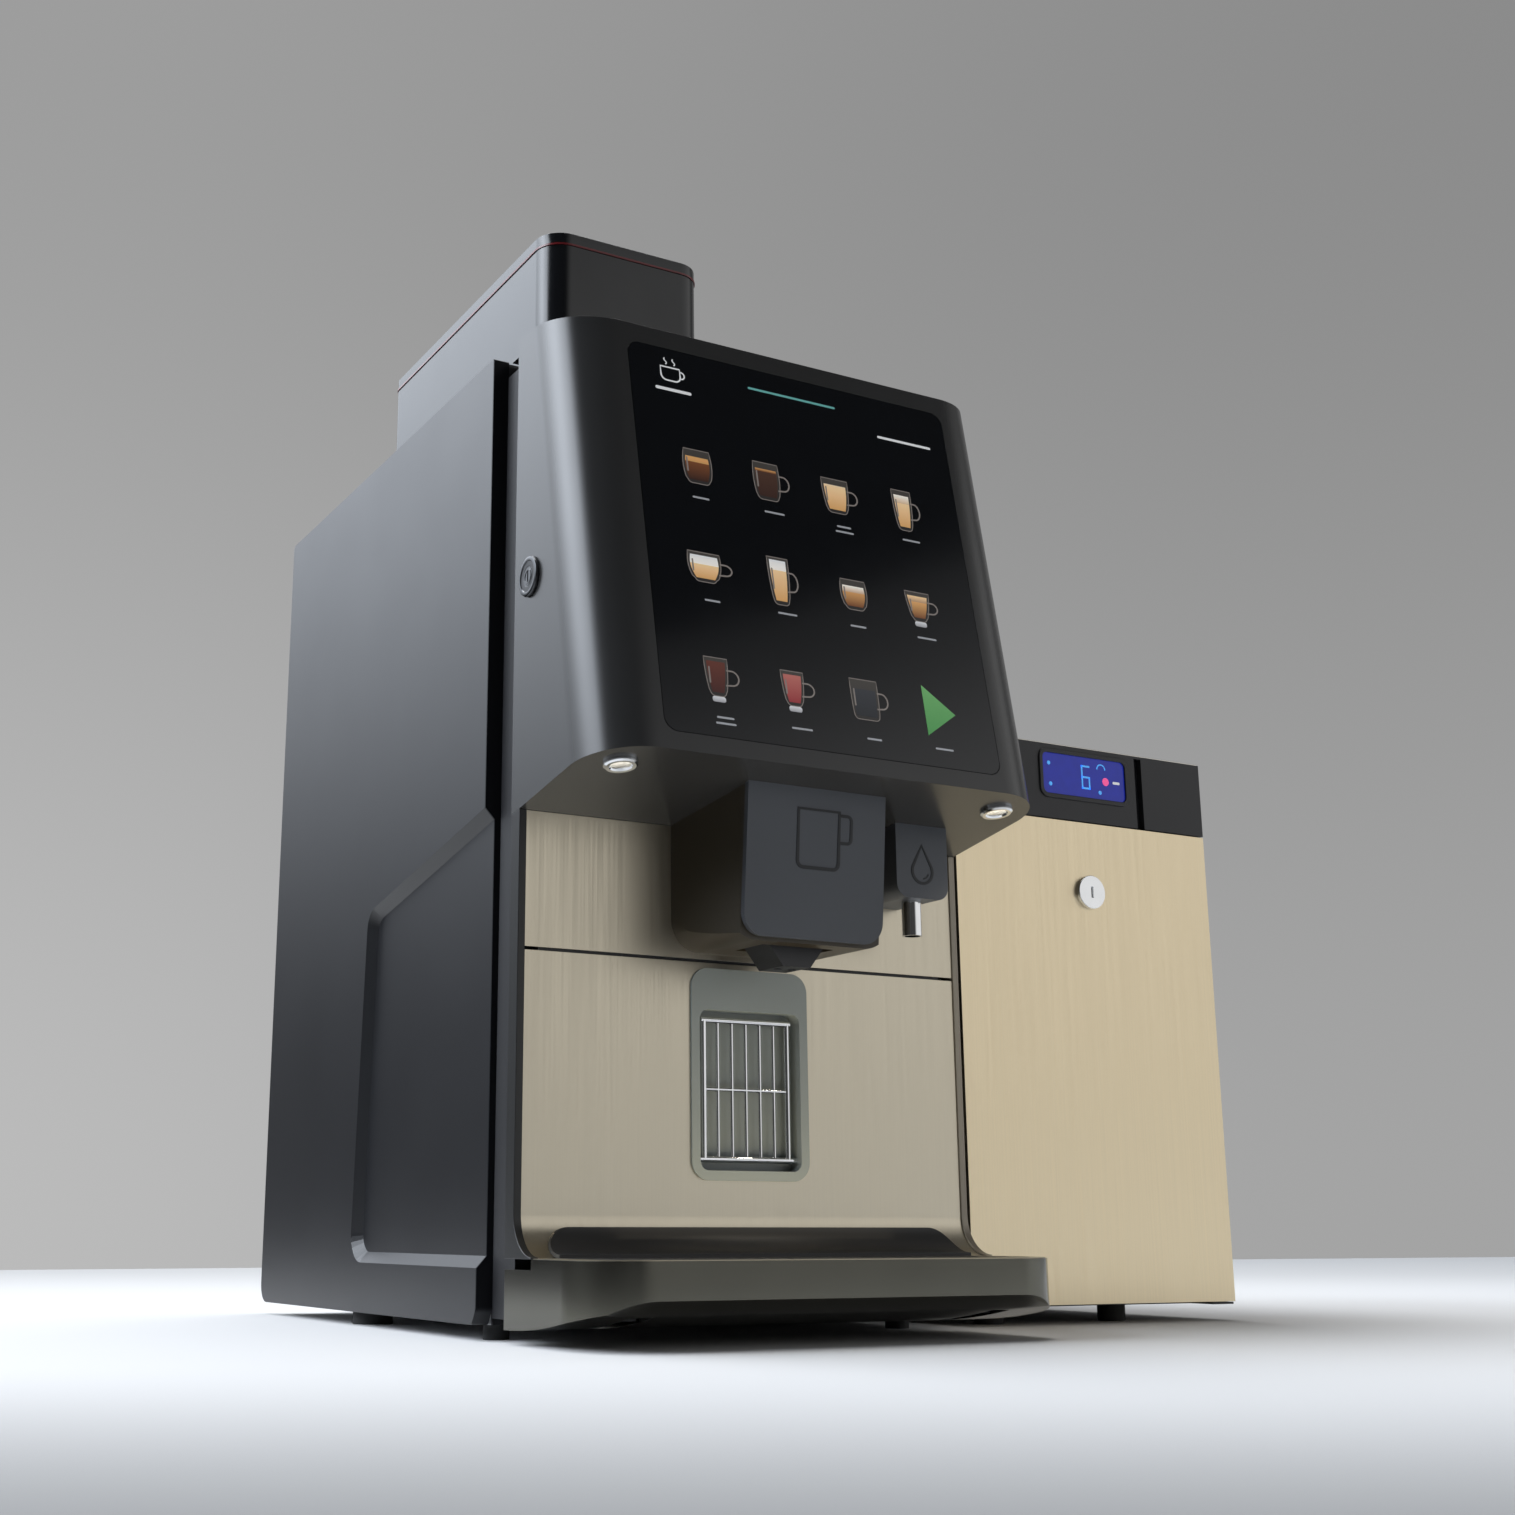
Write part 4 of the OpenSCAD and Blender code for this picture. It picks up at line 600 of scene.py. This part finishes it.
LOCK_LO, LOCK_HI = local_box("lock_housing")
LOCK_Y, LOCK_Z = (LOCK_LO.y + LOCK_HI.y) / 2, (LOCK_LO.z + LOCK_HI.z) / 2
rim = [(9.6, -0.2), (10.2, 0.5), (11.4, 0.7), (12.6, 0.3), (12.9, -0.4), (9.6, -0.4)]
LOCK_FACE = at(LOCK_LO.x, LOCK_Y, LOCK_Z)
turned("lock_rim", rim, LOCK_FACE, (-1, 0, 0), "dark_chrome", "door")
key_guide = [(3.6, -0.2), (3.9, 0.35), (4.8, 0.35), (5.2, -0.2)]
turned("key_guide", key_guide, LOCK_FACE, (-1, 0, 0), "dark_chrome", "lock_plug")


# ---- Drip tray ----------------------------------------------------------------------

TRAY_LO, TRAY_HI = local_box("drip_tray")
GRILLE_LO, GRILLE_HI = local_box("drip_grille")


def tray_deck():
    """The champagne deck plate round the grille, with its rounded front corners."""
    z = TRAY_HI.z
    y_back, y_front, half = -71.8, TRAY_LO.y + 1.2, TRAY_HI.x - 1.2
    outer = [(half, y_back)] + arc(half - 38.8, y_front + 38.8, 38.8, 0, -90, 14)
    outer += arc(-half + 38.8, y_front + 38.8, 38.8, -90, -180, 14) + [(-half, y_back)]
    hole_x, hole_y = GRILLE_HI.x + 0.6, GRILLE_LO.y - 0.6
    inner = [(hole_x, y_back)] + arc(hole_x - 10, hole_y + 10, 10, 0, -90, 14)
    inner += arc(-hole_x + 10, hole_y + 10, 10, -90, -180, 14) + [(-hole_x, y_back)]
    n = len(outer)
    verts = [at(x, y, z + h) for h in (0.45, 0.02) for ring in (outer, inner) for x, y in ring]
    faces = []
    for i in range(n - 1):
        faces.append([i, i + 1, n + i + 1, n + i])
        faces.append([2 * n + i, 3 * n + i, 3 * n + i + 1, 2 * n + i + 1])
        faces.append([i, 2 * n + i, 2 * n + i + 1, i + 1])
        faces.append([n + i, n + i + 1, 3 * n + i + 1, 3 * n + i])
    faces.append([0, n, 3 * n, 2 * n])
    faces.append([n - 1, 3 * n - 1, 4 * n - 1, 2 * n - 1])
    make_piece("tray_deck", verts, faces, "deck", "drip_tray")


tray_deck()


# ---- Hopper -------------------------------------------------------------------------

HOPPER_LO, HOPPER_HI = local_box("bean_hopper")
LID_HI = local_box("hopper_lid")[1]


def lid_seam():
    """The dark red seam under the lid's edge."""
    z = LID_HI.z - 8.6
    r = 20.3
    x0, x1, y0, y1 = HOPPER_LO.x - 0.3, HOPPER_HI.x + 0.3, 45 - 0.3, 345 + 0.3
    b = Builder(lambda x, v, u: at(x, u, z + v))
    outline = (arc(x1 - r, y0 + r, r, -90, 0, 8) + arc(x1 - r / 2, y1 - r / 2, r / 2, 0, 90, 6)
               + arc(x0 + r / 2, y1 - r / 2, r / 2, 90, 180, 6) + arc(x0 + r, y0 + r, r, 180, 270, 8))
    b.stroke(outline, 0.8, -0.9, 0.5, closed=True)
    b.finish("lid_seam", "red_seal", "cabinet")


lid_seam()


# ---- Milk cooler --------------------------------------------------------------------

BAND_LO, BAND_HI = local_box("cooler_band")
SCREEN_LO, SCREEN_HI = local_box("cooler_display")
CDOOR_LO, CDOOR_HI = local_box("cooler_door")


def on_screen(x, v, u):
    """A point on the cooler's screen, from its lower left corner."""
    return at(SCREEN_LO.x + x, SCREEN_LO.y + v, SCREEN_LO.z + u)


CYAN = (0.08, 0.42, 1.0)
PINK = (1.0, 0.1, 0.35)
SEGMENT_GAP = 0.3


def digit_six(b, x, u, w, h, t):
    """The segments of a six."""
    middle = u + h / 2
    bars = [(x, u, x + w, u + t), (x, middle - t / 2, x + w, middle + t / 2), (x, u + h - t, x + w, u + h),
            (x, u, x + t, middle), (x, middle, x + t, u + h), (x + w - t, u, x + w, middle)]
    for x0, u0, x1, u1 in bars:
        left, low, right, high = x0 + SEGMENT_GAP, u0 + SEGMENT_GAP, x1 - SEGMENT_GAP, u1 - SEGMENT_GAP
        b.prism([(left, low), (right, low), (right, high), (left, high)], -0.12, -0.04, CYAN)


def cooler_front():
    """What the cooler's screen shows, its black frame, and the bright edge on top."""
    b = Builder(on_screen)
    digit_six(b, 38, 7, 9, 19, 2)
    for x, u in ((7, 24), (8, 8), (56, 6)):
        b.prism(arc(x, u, 1.6, 0, 360, 10)[:-1], -0.12, -0.04, CYAN)
    b.stroke(arc(58, 24, 4, 0, 180, 8), 1, -0.12, -0.04, CYAN)
    b.prism(arc(62, 15, 3.2, 0, 360, 12)[:-1], -0.12, -0.04, PINK)
    b.prism(round_box(69, 14, 76, 16, 0.9, 3), -0.12, -0.04, WHITE)
    b.finish("cooler_reading", "icons", "cabinet")
    b = Builder(on_screen)
    w, h = SCREEN_HI.x - SCREEN_LO.x, SCREEN_HI.z - SCREEN_LO.z
    b.stroke(round_box(-1, -1, w + 1, h + 1, 6), 3.4, -1.2, 0.3, closed=True)
    b.finish("screen_frame", "black_plastic", "cabinet", bevel=0.5)
    b = Builder(lambda x, v, u: at(x, v, u))
    left, right = BAND_LO.x + 1, BAND_HI.x - 1
    low, high = BAND_HI.z - 0.2, BAND_HI.z + 0.8
    b.prism([(left, low), (right, low), (right, high), (left, high)], BAND_LO.y + 0.6, BAND_LO.y + 9)
    b.finish("cooler_top_edge", "bright_trim", "cabinet", bevel=0.3)
    # Gasket on the back of the cooler's door
    b = Builder(lambda x, v, u: at(x, v, u))
    gasket = round_box(CDOOR_LO.x + 18, CDOOR_LO.z + 22, CDOOR_HI.x - 16, CDOOR_HI.z - 10, 6)
    b.stroke(gasket, 8, CDOOR_HI.y, CDOOR_HI.y + 2.2, closed=True)
    b.finish("cooler_gasket", "foot_rubber", "cooler_door", bevel=0.8)


cooler_front()


# ---- Surroundings, light and camera -------------------------------------------------

def math_node(tree, operation, a, b):
    node = tree.nodes.new("ShaderNodeMath")
    node.operation = operation
    for socket, value in zip(node.inputs, (a, b)):
        if isinstance(value, (int, float)):
            socket.default_value = value
        else:
            tree.links.new(value, socket)
    return node.outputs["Value"]


def eased(tree, value, start, end):
    """0 at start, 1 at end, smooth between."""
    node = tree.nodes.new("ShaderNodeMapRange")
    node.interpolation_type = "SMOOTHSTEP"
    low, high = min(start, end), max(start, end)
    node.inputs["From Min"].default_value = low
    node.inputs["From Max"].default_value = high
    node.inputs["To Min"].default_value = 0 if start < end else 1
    node.inputs["To Max"].default_value = 1 if start < end else 0
    tree.links.new(value, node.inputs["Value"])
    return node.outputs["Result"]


def product(tree, *values):
    result = values[0]
    for v in values[1:]:
        result = math_node(tree, "MULTIPLY", result, v)
    return result


COOL_TINT = (0.92, 0.99, 1.09)


def studio():
    """A grey studio: paler behind, a soft card at the front right, a high box and a strip at the left."""
    world = bpy.data.worlds.new("studio")
    bpy.context.scene.world = world
    world.use_nodes = True
    tree = world.node_tree
    coord = tree.nodes.new("ShaderNodeTexCoord")
    split = tree.nodes.new("ShaderNodeSeparateXYZ")
    tree.links.new(coord.outputs["Generated"], split.inputs["Vector"])
    x, y, z = split.outputs["X"], split.outputs["Y"], split.outputs["Z"]
    step = product(tree, eased(tree, z, 0.58, 0.565), 0.2)
    slope = product(tree, eased(tree, z, 0.57, 0.45), 0.62)
    dim = math_node(tree, "MULTIPLY_ADD", eased(tree, z, -0.1, 0.12), 0.42)
    dim.node.inputs[2].default_value = 0.58
    card = product(tree, math_node(tree, "ADD", step, slope), dim, eased(tree, y, 0.15, -0.25),
                   eased(tree, x, -0.1, 0.35))
    box = product(tree, eased(tree, z, 0.07, 0.6), eased(tree, y, -0.05, 0.3),
                  eased(tree, x, 0.05, -0.2), 3.4)
    strip = product(tree, eased(tree, z, 0.28, 0.45), eased(tree, z, 0.75, 0.62),
                    eased(tree, y, -0.28, -0.08), eased(tree, y, 0.8, 0.1), eased(tree, x, -0.4, -0.6), 8.0)
    across = math_node(tree, "MULTIPLY_ADD", eased(tree, x, 0.8, 0.1), 0.13)
    across.node.inputs[2].default_value = 0.32
    high = math_node(tree, "MULTIPLY_ADD", eased(tree, z, 0.0, 0.55), -0.36)
    high.node.inputs[2].default_value = 1.0
    back = product(tree, across, high, eased(tree, y, -0.1, 0.4), eased(tree, x, -0.25, 0.1))
    plain = math_node(tree, "ADD", math_node(tree, "ADD", card, back), 0.05)
    tint = tree.nodes.new("ShaderNodeCombineXYZ")
    for socket, share in zip(tint.inputs, COOL_TINT):
        cool = product(tree, math_node(tree, "ADD", box, strip), share)
        tree.links.new(math_node(tree, "ADD", plain, cool), socket)
    shade = tree.nodes["Background"]
    tree.links.new(tint.outputs["Vector"], shade.inputs["Color"])
    shade.inputs["Strength"].default_value = 1.0


# The floor's pale colour and the grey of its painted shade
FLOOR_PAINTED_SHADE, FLOOR_PALE = (0.08, 0.08, 0.08), (0.7, 0.7, 0.7)


def floor():
    """A pale floor with painted shade: it turns grey towards the front and the left and a little darker far
    back, where the light falls off.
    """
    mat, tree, shader = new_material("floor")
    coord = tree.nodes.new("ShaderNodeTexCoord")
    split = tree.nodes.new("ShaderNodeSeparateXYZ")
    tree.links.new(coord.outputs["Object"], split.inputs["Vector"])
    x, y = split.outputs["X"], split.outputs["Y"]
    depth = math_node(tree, "ADD", product(tree, x, 0.47), product(tree, y, 0.88))
    near = math_node(tree, "MULTIPLY_ADD", eased(tree, depth, -1.15, -0.45), 0.8)
    near.node.inputs[2].default_value = 0.2
    far = math_node(tree, "MULTIPLY_ADD", eased(tree, depth, 1.6, -0.1), 0.3)
    far.node.inputs[2].default_value = 0.7
    beside = math_node(tree, "SUBTRACT", x, product(tree, y, 0.175))
    # Painted shade: pale falls to grey near the front, at the left and a little far back, standing in for the
    # light's falloff
    painted_falloff = product(tree, near, far, eased(tree, beside, -1.0, -0.57))
    tree.links.new(tinted(tree, painted_falloff, FLOOR_PAINTED_SHADE, FLOOR_PALE, 0.0, 1.0), shader.inputs["Base Color"])
    shader.inputs["Roughness"].default_value = 0.7
    shader.inputs["Specular IOR Level"].default_value = 0.15
    mesh = bpy.data.meshes.new("floor")
    mesh.from_pydata([(-5, -4, 0), (5, -4, 0), (5, 1.9, 0), (-5, 1.9, 0)], [], [[0, 1, 2, 3]])
    obj = bpy.data.objects.new("floor", mesh)
    bpy.context.scene.collection.objects.link(obj)
    mesh.materials.append(mat)


def area(name, location, target, size, energy, color=(1, 1, 1)):
    data = bpy.data.lights.new(name, "AREA")
    data.size, data.energy, data.color = size, energy, color
    obj = bpy.data.objects.new(name, data)
    bpy.context.scene.collection.objects.link(obj)
    obj.location = location
    obj.rotation_euler = (Vector(target) - Vector(location)).to_track_quat("-Z", "Y").to_euler()
    obj.visible_camera = False
    return obj


YAW, PITCH, ROLL = 28.15, 13.57, 0.1
LENS_MM, SENSOR_MM = 45.325, 36
SHIFT_X, SHIFT_Y = 0.0854, 0.0057


def camera():
    """The camera at the photograph's place: left of the cabinet, looking up from just above the table."""
    data = bpy.data.cameras.new("camera")
    obj = bpy.data.objects.new("camera", data)
    bpy.context.scene.collection.objects.link(obj)
    data.sensor_width, data.lens = SENSOR_MM, LENS_MM
    data.shift_x, data.shift_y = SHIFT_X, SHIFT_Y
    obj.location = at(-643.6, -1081.8, 66.3)
    yaw, pitch = math.radians(YAW), math.radians(PITCH)
    forward = Vector((math.sin(yaw) * math.cos(pitch), math.cos(yaw) * math.cos(pitch), math.sin(pitch)))
    turn = Matrix.Rotation(math.radians(ROLL), 3, "Z")
    obj.rotation_euler = (forward.to_track_quat("-Z", "Y").to_matrix() @ turn).to_euler()
    bpy.context.scene.camera = obj


studio()
floor()
area("overhead", (0.0, 0.6, 2.4), (0, 0.3, 0), 1.8, 44)
# A weak warm fill in the recess, which goes with the door
glow = area("recess_glow", at(0, -105, 60), at(0, -100, 300), 0.2, 0.33, (1.0, 0.86, 0.6))
glow.visible_glossy = False
glow.parent = frame["bodies"]["door"]
camera()
bpy.context.scene.view_settings.view_transform = "Standard"
